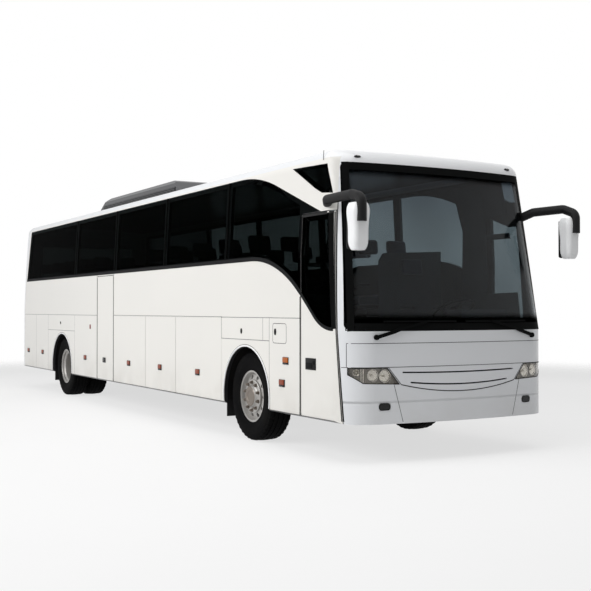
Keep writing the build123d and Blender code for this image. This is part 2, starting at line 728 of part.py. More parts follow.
def door_brackets(pin, heights):
    """Brackets inside a door leaf, each with an upright pin for its arm."""
    with BuildPart() as brackets:
        for z in heights:
            foot = z - DOOR_ARM_HEIGHT / 2 - RUNNING_GAP
            with Locations((-DOOR_POST_X + BRACKET_WIDTH / 2, at(pin), foot)):
                Box(INNER_X - DOOR_POST_X + BRACKET_WIDTH / 2, BRACKET_WIDTH, PLATE,
                    align=(Align.MAX, Align.CENTER, Align.MAX))
            with Locations((-DOOR_POST_X, at(pin), foot)):
                Cylinder(DOOR_PIN_RADIUS, DOOR_ARM_HEIGHT, align=(Align.CENTER, Align.CENTER, Align.MIN))
    return brackets.part


def door_post(post, pin, heights, low, high):
    """Turning post with an arm to each bracket."""
    with BuildPart() as arm:
        with Locations((-DOOR_POST_X, at(post), low)):
            Cylinder(DOOR_POST_RADIUS, high - low, align=(Align.CENTER, Align.CENTER, Align.MIN))
        for z in heights:
            with Locations((-DOOR_POST_X, at((post + pin) / 2), z)):
                Box(2 * DOOR_POST_RADIUS, abs(pin - post), DOOR_ARM_HEIGHT)
            with Locations((-DOOR_POST_X, at(pin), z)):
                Cylinder(DOOR_POST_RADIUS, DOOR_ARM_HEIGHT)
                Cylinder(DOOR_PIN_RADIUS + RUNNING_GAP, DOOR_ARM_HEIGHT, mode=Mode.SUBTRACT)
    return arm.part


with BuildPart() as front_door:
    add(panel_piece(door_field, KERB))
    add(front_door_glass.part, mode=Mode.SUBTRACT)
    extrude(door_opening, amount=KERB * REACH, mode=Mode.SUBTRACT)
    add(door_brackets(front_pin, FRONT_ARM_HEIGHTS))
save(front_door, "front_door")

with BuildPart() as front_door_arm:
    add(door_post(FRONT_POST, front_pin, FRONT_ARM_HEIGHTS, STEP_Z + RUNNING_GAP, DOOR_TOP_Z + PLATE))
save(front_door_arm, "front_door_arm")

# Middle door
with BuildPart() as middle_door:
    add(panel_piece(middle_field, KERB))
    add(door_brackets(middle_pin, MIDDLE_ARM_HEIGHTS))
save(middle_door, "middle_door")

with BuildPart() as middle_door_arm:
    add(door_post(MIDDLE_POST, middle_pin, MIDDLE_ARM_HEIGHTS, STEP_Z + RUNNING_GAP, MIDDLE_DOOR_TOP_Z + PLATE))
save(middle_door_arm, "middle_door_arm")

floor_x = INNER_X - MOVING_GAP


def stair(treads, start, end):
    """Folded sheet stair going up from the kerb side, from tread depths and heights."""
    upper = []
    lower = []
    x = -floor_x
    for depth, z in treads:
        upper += [(x, z), (x + depth, z)]
        lower += [(x if not lower else x + PLATE, z - PLATE), (x + depth + PLATE, z - PLATE)]
        x += depth
    lower[-1] = (x, lower[-1][1])
    with BuildPart() as steps:
        with BuildSketch(Plane.XZ.offset(-at(start))):
            with BuildLine():
                Polyline(*upper, *reversed(lower), close=True)
            make_face()
        extrude(amount=start - end)
    return steps.part


# Floors, stairs and luggage hold
middle_stair_x = sum(depth for depth, z in MIDDLE_TREADS)
front_stair_x = sum(depth for depth, z in FRONT_TREADS)
with BuildPart() as cabin_floor:
    with Locations((0, at(FLOOR_START), FLOOR_Z)):
        Box(2 * floor_x, FLOOR_END - FLOOR_START, FLOOR_THICKNESS, align=(Align.CENTER, Align.MIN, Align.MAX))
    with Locations((-floor_x, at(MIDDLE_DOOR_FRONT), FLOOR_Z)):
        Box(middle_stair_x, MIDDLE_DOOR_REAR - MIDDLE_DOOR_FRONT, 3 * FLOOR_THICKNESS,
            align=(Align.MIN, Align.MIN, Align.CENTER), mode=Mode.SUBTRACT)
    with Locations((0, at(FLOOR_START), PLATFORM_Z)):
        Box(2 * floor_x, PLATE, FLOOR_Z - FLOOR_THICKNESS - PLATFORM_Z,
            align=(Align.CENTER, Align.MIN, Align.MIN))
save(cabin_floor, "cabin_floor")

with BuildPart() as driver_platform:
    with Locations((0, at(PLATFORM_START), PLATFORM_Z)):
        Box(2 * floor_x, FLOOR_START + PLATE - PLATFORM_START, PLATE,
            align=(Align.CENTER, Align.MIN, Align.MAX))
    with Locations((-floor_x, at(0), PLATFORM_Z)):
        Box(front_stair_x, DOOR_REAR, 4 * PLATE, align=(Align.MIN, Align.MIN, Align.CENTER), mode=Mode.SUBTRACT)
    add(inside, mode=Mode.INTERSECT)
save(driver_platform, "driver_platform")

with BuildPart() as entrance_steps:
    add(stair(FRONT_TREADS, seam_station(PLATFORM_Z) + STAIR_SIDE_GAP, DOOR_REAR))
    add(stair(MIDDLE_TREADS, MIDDLE_DOOR_FRONT + MOVING_GAP, MIDDLE_DOOR_REAR))
    add(inside, mode=Mode.INTERSECT)
save(entrance_steps, "entrance_steps")

hold_front = FLAP_ENDS[0] + MOVING_GAP
hold_rear = FLAP_ENDS[-1] - HOLD_END_GAP
with BuildPart() as luggage_hold:
    with Locations((0, at(hold_front), HOLD_FLOOR_Z)):
        Box(2 * floor_x, hold_rear - hold_front, PLATE, align=(Align.CENTER, Align.MIN, Align.MAX))
    for station in (hold_front, hold_rear - PLATE):
        with Locations((0, at(station), HOLD_FLOOR_Z)):
            Box(2 * floor_x, PLATE, FLOOR_Z - FLOOR_THICKNESS - HOLD_FLOOR_Z,
                align=(Align.CENTER, Align.MIN, Align.MIN))
save(luggage_hold, "luggage_hold")

# Underframe: paired rails ahead of and behind the hold, cross members, end beams and jacking pads
rail_top = RAIL_LOW_Z + RAIL_HEIGHT
floor_low = FLOOR_Z - FLOOR_THICKNESS
with BuildPart() as underframe:
    for start, end in ((FRAME_END_GAP, hold_front), (hold_rear, BODY_LENGTH - FRAME_END_GAP)):
        with Locations((-RAIL_X, at(start), RAIL_LOW_Z), (RAIL_X, at(start), RAIL_LOW_Z)):
            Box(RAIL_WIDTH, end - start, RAIL_HEIGHT, align=(Align.CENTER, Align.MIN, Align.MIN))
    for station, top in CROSS_MEMBERS:
        with Locations((0, at(station), RAIL_LOW_Z)):
            Box(2 * RAIL_X + RAIL_WIDTH, CROSS_WIDTH, top - RAIL_LOW_Z,
                align=(Align.CENTER, Align.CENTER, Align.MIN))
    for station, towards in ((0, Align.MIN), (BODY_LENGTH, Align.MAX)):
        with Locations((0, at(station), RAIL_LOW_Z)):
            Box(2 * END_BEAM_HALF, END_BEAM_DEPTH, END_BEAM_HEIGHT, align=(Align.CENTER, towards, Align.CENTER))
    for station in JACK_STATIONS:
        with Locations((-RAIL_X, at(station), RAIL_LOW_Z), (RAIL_X, at(station), RAIL_LOW_Z)):
            Box(JACK_PAD, JACK_PAD, PLATE, align=(Align.CENTER, Align.CENTER, Align.MAX))
    add(inside, mode=Mode.INTERSECT)
    for station in (TOW_INSET, BODY_LENGTH - TOW_INSET):
        with Locations((0, at(station), RAIL_LOW_Z)):
            Cylinder(TOW_BORE_RADIUS, 2 * END_BEAM_HEIGHT, mode=Mode.SUBTRACT)
save(underframe, "underframe")

# Wheel housings and the flaps that hang behind the wheels
with BuildPart() as wheel_housings:
    for axle, housing_x in ((FRONT_AXLE, FRONT_HOUSING_X), (REAR_AXLE, REAR_HOUSING_X)):
        for side in (KERB, DRIVER):
            with BuildSketch(Plane.YZ.offset(side * housing_x)):
                with Locations((at(axle), TYRE_RADIUS)):
                    Circle(HOUSING_RADIUS + HOUSING_WALL)
                with Locations((at(axle), HOUSING_LOW_Z)):
                    Rectangle(2 * (HOUSING_RADIUS + HOUSING_WALL), TYRE_RADIUS - HOUSING_LOW_Z,
                              align=(Align.CENTER, Align.MIN))
                    Rectangle(4 * HOUSING_RADIUS, 2 * HOUSING_RADIUS, align=(Align.CENTER, Align.MAX),
                              mode=Mode.SUBTRACT)
                with Locations((at(axle), floor_low)):
                    Rectangle(HOUSING_RADIUS, FLOOR_Z - TYRE_RADIUS - HOUSING_RADIUS,
                              align=(Align.CENTER, Align.MAX))
                with Locations((at(axle), TYRE_RADIUS)):
                    Circle(HOUSING_RADIUS, mode=Mode.SUBTRACT)
                with Locations((at(axle), HOUSING_LOW_Z)):
                    Rectangle(2 * HOUSING_RADIUS, TYRE_RADIUS - HOUSING_LOW_Z, align=(Align.CENTER, Align.MIN),
                              mode=Mode.SUBTRACT)
            extrude(amount=side * (INNER_X - housing_x))
save(wheel_housings, "wheel_housings")

with BuildPart() as mud_flaps:
    for axle, flap_x in ((FRONT_AXLE, WHEEL_X - TYRE_WIDTH / 2), (REAR_AXLE, REAR_HOUSING_X)):
        for side in (KERB, DRIVER):
            with Locations((side * (flap_x + INNER_X) / 2, at(axle + HOUSING_RADIUS), HOUSING_LOW_Z)):
                Box(INNER_X - flap_x - 2 * MOVING_GAP, HOUSING_WALL, HOUSING_LOW_Z - MUD_FLAP_LOW_Z,
                    align=(Align.CENTER, Align.MIN, Align.MAX))
save(mud_flaps, "mud_flaps")

# Front axle: dropped beam with kingpin eyes and two air bellows up to the rails
kingpin_x = WHEEL_X - KINGPIN_OFFSET
with BuildPart() as front_axle:
    with BuildSketch(Plane.XZ.offset(-at(FRONT_AXLE))):
        with BuildLine():
            Polyline((-kingpin_x, TYRE_RADIUS - BEAM_HALF), (-BEAM_DROP_X - BEAM_DROP, TYRE_RADIUS - BEAM_HALF),
                     (-BEAM_DROP_X, TYRE_RADIUS - BEAM_DROP - BEAM_HALF),
                     (BEAM_DROP_X, TYRE_RADIUS - BEAM_DROP - BEAM_HALF),
                     (BEAM_DROP_X + BEAM_DROP, TYRE_RADIUS - BEAM_HALF), (kingpin_x, TYRE_RADIUS - BEAM_HALF),
                     (kingpin_x, TYRE_RADIUS + BEAM_HALF), (BEAM_DROP_X + BEAM_DROP, TYRE_RADIUS + BEAM_HALF),
                     (BEAM_DROP_X, TYRE_RADIUS - BEAM_DROP + BEAM_HALF),
                     (-BEAM_DROP_X, TYRE_RADIUS - BEAM_DROP + BEAM_HALF),
                     (-BEAM_DROP_X - BEAM_DROP, TYRE_RADIUS + BEAM_HALF), (-kingpin_x, TYRE_RADIUS + BEAM_HALF),
                     close=True)
        make_face()
    extrude(amount=BEAM_HALF, both=True)
    with Locations((-kingpin_x, at(FRONT_AXLE), TYRE_RADIUS), (kingpin_x, at(FRONT_AXLE), TYRE_RADIUS)):
        Cylinder(BEAM_HALF, 2 * KINGPIN_EYE)
        Cylinder(KINGPIN_RADIUS + RUNNING_GAP, 4 * KINGPIN_EYE, mode=Mode.SUBTRACT)
    bellows_low = TYRE_RADIUS - BEAM_DROP + BEAM_HALF
    with Locations((-RAIL_X, at(FRONT_AXLE), bellows_low), (RAIL_X, at(FRONT_AXLE), bellows_low)):
        Cylinder(BELLOWS_RADIUS, RAIL_LOW_Z - bellows_low, align=(Align.CENTER, Align.CENTER, Align.MIN))
save(front_axle, "front_axle")

# Rear axle: tube, differential, spindles and two air bellows
with BuildPart() as rear_axle:
    with Locations((0, at(REAR_AXLE), TYRE_RADIUS)):
        Cylinder(AXLE_TUBE_RADIUS, 2 * REAR_HOUSING_X, rotation=(0, 90, 0))
        Cylinder(REAR_SPINDLE_RADIUS, 2 * (WHEEL_X - HUB_DEPTH), rotation=(0, 90, 0))
        Sphere(DIFFERENTIAL_RADIUS)
    with Locations((-RAIL_X, at(REAR_AXLE), TYRE_RADIUS), (RAIL_X, at(REAR_AXLE), TYRE_RADIUS)):
        Cylinder(BELLOWS_RADIUS, RAIL_LOW_Z - TYRE_RADIUS, align=(Align.CENTER, Align.CENTER, Align.MIN))
save(rear_axle, "rear_axle")

# Engine block behind the rear axle, hung on the cross member ahead of it
with BuildPart() as engine_block:
    with Locations((0, at(ENGINE_START), ENGINE_LOW_Z)):
        Box(2 * ENGINE_HALF, ENGINE_LENGTH, ENGINE_HEIGHT, align=(Align.CENTER, Align.MIN, Align.MIN))
    chamfer(engine_block.edges().filter_by(Axis.Y), PLATE)
save(engine_block, "engine_block")


def wheel_plane(side, axle):
    """Plane through a wheel's centre, with the outboard direction along its first axis."""
    return Plane(origin=(side * WHEEL_X, at(axle), TYRE_RADIUS), x_dir=(side, 0, 0), z_dir=(0, -side, 0))


def tyre(side, axle, shift):
    """Road tyre: sidewalls that bulge to their widest line, bevelled shoulders and a level tread."""
    plane = wheel_plane(side, axle)
    half = TYRE_WIDTH / 2
    with BuildPart() as ring:
        with BuildSketch(plane):
            with BuildLine():
                Polyline((shift - BEAD_HALF, BEAD_RADIUS), (shift - BEAD_HALF, RIM_RADIUS),
                         (shift + BEAD_HALF, RIM_RADIUS), (shift + BEAD_HALF, BEAD_RADIUS))
                for out in (-1, 1):
                    Polyline((shift + out * BEAD_HALF, BEAD_RADIUS), (shift + out * half, SIDEWALL_RADIUS),
                             (shift + out * TREAD_HALF, SHOULDER_RADIUS),
                             (shift + out * CROWN_HALF, TYRE_RADIUS))
                Line((shift - CROWN_HALF, TYRE_RADIUS), (shift + CROWN_HALF, TYRE_RADIUS))
            make_face()
        revolve(axis=Axis(plane.origin, plane.x_dir))
    return ring.part


def wheel(side, axle, profile, hole_depth):
    """Steel wheel turned from its half section, with a ring of round hand holes."""
    plane = wheel_plane(side, axle)
    with BuildPart() as disc:
        with BuildSketch(plane):
            with BuildLine():
                Polyline(*profile, close=True)
            make_face()
        revolve(axis=Axis(plane.origin, plane.x_dir))
        with BuildSketch(Plane(origin=plane.origin, x_dir=(0, 1, 0), z_dir=plane.x_dir)):
            with PolarLocations(HAND_HOLE_CIRCLE, HAND_HOLES):
                Circle(HAND_HOLE_RADIUS)
        extrude(amount=hole_depth, mode=Mode.SUBTRACT)
    return disc.part


# Knuckles, wheels and tyres
rim_seat = RIM_RADIUS - RUNNING_GAP
flange_in = BEAD_HALF + RUNNING_GAP
flange_out = flange_in + FLANGE_WIDTH
rim_inner = RIM_RADIUS - RIM_WALL
bore = SPINDLE_RADIUS + RUNNING_GAP
rear_bore = REAR_SPINDLE_RADIUS + RUNNING_GAP
outer_barrel = [(-flange_out, FLANGE_RADIUS), (-flange_in, FLANGE_RADIUS), (-flange_in, rim_seat),
                (flange_in, rim_seat), (flange_in, FLANGE_RADIUS), (flange_out, FLANGE_RADIUS)]
front_profile = outer_barrel + [
    (flange_out, rim_inner), (DISC_ROOT, rim_inner - RIM_WALL), (DISC_CROWN, BOLT_CIRCLE + PLATE),
    (DISC_CROWN + RIM_WALL, BOLT_CIRCLE), (HUB_OUT - RIM_WALL, HUB_RADIUS), (HUB_OUT, HUB_RADIUS - PLATE),
    (HUB_OUT, 0),
    (SPINDLE_REACH + RUNNING_GAP, 0), (SPINDLE_REACH + RUNNING_GAP, bore), (HUB_IN, bore), (HUB_IN, HUB_RADIUS),
    (DISC_CROWN - RIM_WALL, BOLT_CIRCLE), (DISC_CROWN - RIM_WALL, BOLT_CIRCLE + PLATE),
    (DISC_ROOT - 2 * RIM_WALL, rim_inner - RIM_WALL), (-flange_out, rim_inner)]
inner_barrel = [(x - TWIN_SPACING, r) for x, r in reversed(outer_barrel)]
rear_profile = outer_barrel + [
    (flange_out, rim_inner), (DISH + RIM_WALL, rim_inner - RIM_WALL), (DISH + RIM_WALL, HUB_RADIUS),
    (DISH + HUB_PROUD, HUB_RADIUS - PLATE), (DISH + HUB_PROUD, 0), (-HUB_DEPTH + RUNNING_GAP, 0),
    (-HUB_DEPTH + RUNNING_GAP, rear_bore), (DISH - HUB_PROUD, rear_bore), (DISH - HUB_PROUD, HUB_RADIUS),
    (DISH - RIM_WALL, HUB_RADIUS), (DISH - RIM_WALL, rim_inner - RIM_WALL),
    (-TWIN_SPACING - flange_out, rim_inner)] + list(reversed(inner_barrel))
for side, side_name in ((KERB, "kerb"), (DRIVER, "driver")):
    with BuildPart() as knuckle:
        hub_y = at(FRONT_AXLE)
        with Locations((side * kingpin_x, hub_y, TYRE_RADIUS)):
            Cylinder(KINGPIN_RADIUS, 2 * (KINGPIN_EYE + EAR))
        for up in (-1, 1):
            with Locations((side * kingpin_x, hub_y, TYRE_RADIUS + up * (KINGPIN_EYE + RUNNING_GAP + EAR / 2))):
                Cylinder(BEAM_HALF, EAR)
                Box(KNUCKLE_WEB_X, 2 * BEAM_HALF, EAR,
                    align=(Align.MIN if side > 0 else Align.MAX, Align.CENTER, Align.CENTER))
        with Locations((side * (kingpin_x + KNUCKLE_WEB_X), hub_y, TYRE_RADIUS)):
            Box(EAR, 2 * BEAM_HALF, 2 * (KINGPIN_EYE + RUNNING_GAP + EAR))
        spindle_length = KINGPIN_OFFSET + SPINDLE_REACH - KNUCKLE_WEB_X
        with Locations((side * (WHEEL_X + SPINDLE_REACH - spindle_length / 2), hub_y, TYRE_RADIUS)):
            Cylinder(SPINDLE_RADIUS, spindle_length, rotation=(0, 90, 0))
    save(knuckle, f"knuckle_{side_name}")
    with BuildPart() as front_wheel:
        add(wheel(side, FRONT_AXLE, front_profile, DISC_CROWN + 2 * RIM_WALL))
    save(front_wheel, f"front_wheel_{side_name}")
    with BuildPart() as rear_wheel:
        add(wheel(side, REAR_AXLE, rear_profile, DISH - 2 * RIM_WALL))
    save(rear_wheel, f"rear_wheel_{side_name}")
    with BuildPart() as front_tyre:
        add(tyre(side, FRONT_AXLE, 0))
    save(front_tyre, f"front_tyre_{side_name}")
    with BuildPart() as rear_tyres:
        add(tyre(side, REAR_AXLE, 0))
        add(tyre(side, REAR_AXLE, -TWIN_SPACING))
    save(rear_tyres, f"rear_tyres_{side_name}")


def seat(outline, base_z, front, x_low, width):
    """Seat turned forwards: its side outline pushed across its width."""
    with BuildPart() as block:
        with BuildSketch(Plane.YZ.offset(x_low)):
            with BuildLine():
                Polyline(*[(at(front + back), base_z + z) for back, z in outline], close=True)
            make_face()
        extrude(amount=width)
    return block.part


# Seats
seat_x = INNER_X - SEAT_GAP
with BuildPart() as passenger_seats:
    for row in range(SEAT_ROWS):
        front = SEAT_START + row * SEAT_PITCH
        add(seat(SEAT_OUTLINE, FLOOR_Z, front, seat_x - SEAT_WIDTH, SEAT_WIDTH))
        if front + SEAT_PITCH < MIDDLE_DOOR_FRONT + SEAT_GAP or front > MIDDLE_DOOR_REAR:
            add(seat(SEAT_OUTLINE, FLOOR_Z, front, -seat_x, SEAT_WIDTH))
save(passenger_seats, "passenger_seats")

with BuildPart() as driver_seat:
    add(seat(SEAT_OUTLINE, PLATFORM_Z, DRIVER_SEAT_START, DRIVER_X - DRIVER_SEAT_WIDTH / 2, DRIVER_SEAT_WIDTH))
save(driver_seat, "driver_seat")

# Dashboard and steering wheel
with BuildPart() as dashboard:
    dash_steps = ((DASH_KERB_X, DASH_LIP_Z, DASH_REAR), (floor_x - front_stair_x, PLATFORM_Z, DASH_FOOT))
    for kerb_x, low, rear in dash_steps:
        with Locations((-kerb_x, at(0), low)):
            Box(kerb_x + HALF_WIDTH, rear, DASH_TOP_Z - low, align=(Align.MIN, Align.MIN, Align.MIN))
    with Locations((DRIVER_X, at(DASH_REAR), DASH_TOP_Z)):
        Box(BINNACLE_WIDTH, BINNACLE_DEPTH, 2 * BINNACLE_RISE, align=(Align.CENTER, Align.MAX, Align.CENTER))
    add(inside, mode=Mode.INTERSECT)
save(dashboard, "dashboard")

wheel_tilt = radians(STEERING_TILT)
steering_plane = Plane(origin=(DRIVER_X, at(STEERING_STATION), STEERING_Z), x_dir=(1, 0, 0),
                       z_dir=(0, sin(wheel_tilt), cos(wheel_tilt)))
with BuildPart() as grip_block:
    with BuildSketch(Plane.XZ):
        with Locations((STEERING_RADIUS, 0)):
            RegularPolygon(STEERING_GRIP, STEERING_GRIP_SIDES)
    revolve(axis=Axis.Z)
grip_ring = grip_block.part

with BuildPart(steering_plane) as steering_wheel:
    add(grip_ring)
    Cylinder(STEERING_HUB, 2 * STEERING_GRIP)
    for turn in (0, 90):
        Box(2 * STEERING_RADIUS, STEERING_SPOKE, STEERING_GRIP, rotation=(0, 0, turn))
    Cylinder(STEERING_GRIP * 2, STEERING_Z, align=(Align.CENTER, Align.CENTER, Align.MAX))
    extrude(side_box(0, FLOOR_START, 0, PLATFORM_Z), amount=HALF_WIDTH, both=True, mode=Mode.SUBTRACT)
save(steering_wheel, "steering_wheel")

# Roof unit with wedge ends, cut to the roof it sits on
unit_side = side_outline((UNIT_FRONT, ROOF_SEAM_Z), (UNIT_FRONT + UNIT_NOSE, UNIT_TOP_Z),
                         (UNIT_REAR - UNIT_TAIL, UNIT_TOP_Z), (UNIT_REAR, ROOF_SEAM_Z))
with BuildPart() as air_conditioner:
    extrude(unit_side, amount=UNIT_HALF, both=True)
    chamfer(air_conditioner.faces().sort_by(Axis.Z)[-1].edges(), UNIT_BEVEL)
    add(outer, mode=Mode.SUBTRACT)
save(air_conditioner, "air_conditioner")

# Lamps on the skin: side markers and roof markers
with BuildPart() as marker_lamps:
    for side in (KERB, DRIVER):
        for station, z in MARKERS:
            with Locations((side * HALF_WIDTH, at(station), z)):
                Box(2 * MARKER_PROUD, MARKER_LENGTH, MARKER_HEIGHT)
        with Locations((side * ROOF_MARKER_X, at(ROOF_MARKER_STATION), ROOF_MARKER_Z)):
            Box(ROOF_MARKER_LENGTH, ROOF_MARKER_DEPTH, ROOF_MARKER_DEPTH)
    add(outer, mode=Mode.SUBTRACT)
save(marker_lamps, "marker_lamps")

# Mirrors: bent arms from the front corners and hanging heads
with BuildPart() as mirror_heads:
    for side, station in ((KERB, KERB_MIRROR_STATION), (DRIVER, DRIVER_MIRROR_STATION)):
        for z, width, depth in MIRROR_SECTIONS:
            with BuildSketch(Plane.XY.offset(z)):
                with Locations((side * MIRROR_X, at(station))):
                    RectangleRounded(width, depth, MIRROR_ROUND)
        loft()
save(mirror_heads, "mirror_heads")

with BuildPart() as mirror_arms:
    for route in (KERB_ARM, DRIVER_ARM):
        with BuildLine() as path:
            FilletPolyline(*[(x, at(station), z) for x, station, z in route], radius=ARM_BEND)
        with BuildSketch(Plane(origin=path.line @ 0, z_dir=path.line % 0)):
            Circle(ARM_RADIUS)
        sweep(path=path.line)
    add(outer, mode=Mode.SUBTRACT)
    add(mirror_heads.part, mode=Mode.SUBTRACT)
save(mirror_arms, "mirror_arms")


def wiper_bars(side):
    """Arm and blade of one wiper, following the curve of the front."""
    arm_field = front_outline(
        (side * WIPER_PIVOT_X, WIPER_PIVOT_Z - WIPER_ARM), (side * WIPER_PIVOT_X, WIPER_PIVOT_Z + WIPER_ARM),
        (side * WIPER_TIP_X, WIPER_BLADE_Z + WIPER_ARM), (side * WIPER_TIP_X, WIPER_BLADE_Z))
    blade_field = front_outline(
        (side * WIPER_BLADE_X, WIPER_BLADE_Z), (side * WIPER_BLADE_X, WIPER_BLADE_Z + WIPER_ARM),
        (side * WIPER_BLADE_END_X, WIPER_BLADE_Z + WIPER_ARM), (side * WIPER_BLADE_END_X, WIPER_BLADE_Z))
    with BuildPart() as bars:
        add(wiper_space)
        extrude(arm_field + blade_field, amount=FRONT * REACH, mode=Mode.INTERSECT)
    return bars.part


# Wipers: pivots on the cowl, arms towards the middle and blades along the foot of the windscreen
with BuildPart() as wipers:
    for side in (KERB, DRIVER):
        add(wiper_bars(side))
        with Locations((side * WIPER_PIVOT_X, at(WIPER_PIVOT_STATION), WIPER_PIVOT_Z)):
            Cylinder(WIPER_ARM, WIPER_PIVOT_LENGTH, rotation=(90, 0, 0))
    add(outer, mode=Mode.SUBTRACT)
save(wipers, "wipers")
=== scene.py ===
# %% [markdown]
# # A touring coach, dressed in Blender
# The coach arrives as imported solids: walls, doors, flaps, axles and wheels that already move. This
# lesson leaves those solids where they are, gives each one a finish, and adds the pieces that are too
# fine for the solids: tyre tread, wheel nuts, lamp insides, seals, mirror glass, louvres and soft
# seats.

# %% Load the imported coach
import json
import math

import bmesh
import bpy
from mathutils import Matrix, Vector


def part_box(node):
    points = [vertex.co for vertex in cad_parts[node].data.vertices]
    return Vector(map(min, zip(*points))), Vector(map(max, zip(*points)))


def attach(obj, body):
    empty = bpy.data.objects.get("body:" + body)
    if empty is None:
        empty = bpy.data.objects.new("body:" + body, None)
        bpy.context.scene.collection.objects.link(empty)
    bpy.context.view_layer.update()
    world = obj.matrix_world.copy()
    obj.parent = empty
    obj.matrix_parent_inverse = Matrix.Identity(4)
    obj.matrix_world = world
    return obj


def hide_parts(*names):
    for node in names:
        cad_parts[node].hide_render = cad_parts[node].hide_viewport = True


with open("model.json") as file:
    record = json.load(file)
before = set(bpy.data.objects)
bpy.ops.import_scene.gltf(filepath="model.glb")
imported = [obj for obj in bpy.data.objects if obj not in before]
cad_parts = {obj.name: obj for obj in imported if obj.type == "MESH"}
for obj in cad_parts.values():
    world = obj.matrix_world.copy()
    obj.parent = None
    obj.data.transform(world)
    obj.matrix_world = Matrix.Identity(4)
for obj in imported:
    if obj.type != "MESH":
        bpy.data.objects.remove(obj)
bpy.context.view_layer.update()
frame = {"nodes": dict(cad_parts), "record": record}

nodes = frame["nodes"]
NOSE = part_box("grille_panel")[0].y

# %% [markdown]
# ## Measures that every step shares
# Places along the coach are counted in metres behind its nose, as a coachbuilder does. The side wall is
# upright up to the window sill and leans in above it, so one small function gives its half width at any
# height. Colours are written as they are seen on a screen, and turned into the linear light that
# shaders work with.

# %% Shared measures
HALF_WIDTH, LEAN = 1.275, 0.055
SILL_Z, EAVE_Z = 2.03, 3.085
KERB, DRIVER = -1, 1
SIDES = ((KERB, "kerb"), (DRIVER, "driver"))


def at(station):
    """Y of a place this far behind the nose."""
    return NOSE + station


def wall_x(z):
    """Half width of the outer wall at a height."""
    return HALF_WIDTH - LEAN * max(0.0, z - SILL_Z) / (EAVE_Z - SILL_Z)


def tone(red, green, blue):
    """A colour given as it is seen on a screen, turned into linear light."""
    seen = [value / 255 for value in (red, green, blue)]
    linear = [v / 12.92 if v <= 0.04045 else ((v + 0.055) / 1.055) ** 2.4 for v in seen]
    return (*linear, 1.0)


print("wall half width at sill and eave", wall_x(SILL_Z), wall_x(EAVE_Z))

# %% [markdown]
# ## Signals: arithmetic that becomes nodes
# A mask such as a panel seam needs many Math nodes, and wiring each by hand hides the thought behind
# it. Here a signal stands for a value that changes over the surface. Adding, multiplying or comparing
# signals places the Math nodes and wires them, so a mask reads like a line of arithmetic.

# %% Signals
def wire(tree, value, socket):
    """Set a plain value on a socket, or link another node's output to it."""
    if isinstance(value, Signal):
        value = value.socket
    if isinstance(value, bpy.types.NodeSocket):
        tree.links.new(value, socket)
    else:
        socket.default_value = value


class Signal:
    """A value that changes over a surface; arithmetic on it places Math nodes."""

    def __init__(self, tree, socket):
        self.tree, self.socket = tree, socket

    def math(self, operation, *values):
        node = self.tree.nodes.new("ShaderNodeMath")
        node.operation = operation
        for value, socket in zip((self, *values), node.inputs):
            wire(self.tree, value, socket)
        return Signal(self.tree, node.outputs[0])

    def __add__(self, other):
        return self.math("ADD", other)

    def __sub__(self, other):
        return self.math("SUBTRACT", other)

    def __mul__(self, other):
        return self.math("MULTIPLY", other)

    def __abs__(self):
        return self.math("ABSOLUTE")

    def above(self, other):
        return self.math("GREATER_THAN", other)

    def below(self, other):
        return self.math("LESS_THAN", other)

    def at_least(self, other):
        return self.math("MAXIMUM", other)

    def at_most(self, other):
        return self.math("MINIMUM", other)

    def ramp(self, low, high):
        """Zero at low, one at high, smooth between; low may be above high."""
        node = self.tree.nodes.new("ShaderNodeMapRange")
        node.interpolation_type = "SMOOTHSTEP"
        for name, value in (("Value", self), ("From Min", low), ("From Max", high)):
            wire(self.tree, value, node.inputs[name])
        return Signal(self.tree, node.outputs["Result"])


print("signals ready")

# %% [markdown]
# ## Helpers for materials
# Every pattern is read from the object's own coordinates, so it stays on a piece as the piece moves. The
# helpers below place noise, colour blends and bumps, each a node or two, and hand back what comes out.

# %% Patterns
def coordinates(tree):
    """The object's own coordinates."""
    return tree.nodes.new("ShaderNodeTexCoord").outputs["Object"]


def place(tree):
    """The object's coordinates as separate x, y and z signals."""
    parts = tree.nodes.new("ShaderNodeSeparateXYZ")
    wire(tree, coordinates(tree), parts.inputs["Vector"])
    return [Signal(tree, parts.outputs[axis]) for axis in "XYZ"]


def noise(tree, scale, detail):
    """Noise on the object's coordinates, from zero to one."""
    node = tree.nodes.new("ShaderNodeTexNoise")
    for name, value in (("Vector", coordinates(tree)), ("Scale", scale), ("Detail", detail)):
        wire(tree, value, node.inputs[name])
    return Signal(tree, node.outputs["Fac"])


def mix_colour(tree, factor, first, second):
    """Blend two colours by a mask."""
    node = tree.nodes.new("ShaderNodeMix")
    node.data_type = "RGBA"
    for name, value in (("Factor_Float", factor), ("A_Color", first), ("B_Color", second)):
        wire(tree, value, next(s for s in node.inputs if s.identifier == name))
    return next(s for s in node.outputs if s.identifier == "Result_Color")


def bump(tree, height, strength, distance, under=None):
    """The normal of a relief; it may lie on top of another normal."""
    node = tree.nodes.new("ShaderNodeBump")
    for name, value in (("Height", height), ("Strength", strength), ("Distance", distance)):
        wire(tree, value, node.inputs[name])
    if under is not None:
        wire(tree, under, node.inputs["Normal"])
    return node.outputs["Normal"]


print("helpers for noise, colour blends and bumps ready")

# %% [markdown]
# ## Helpers for groups and materials
# A node group is a small shader of its own, with named sockets, that many materials can place. A material
# starts from the shader that Blender puts into it, and plain values go straight onto that shader.

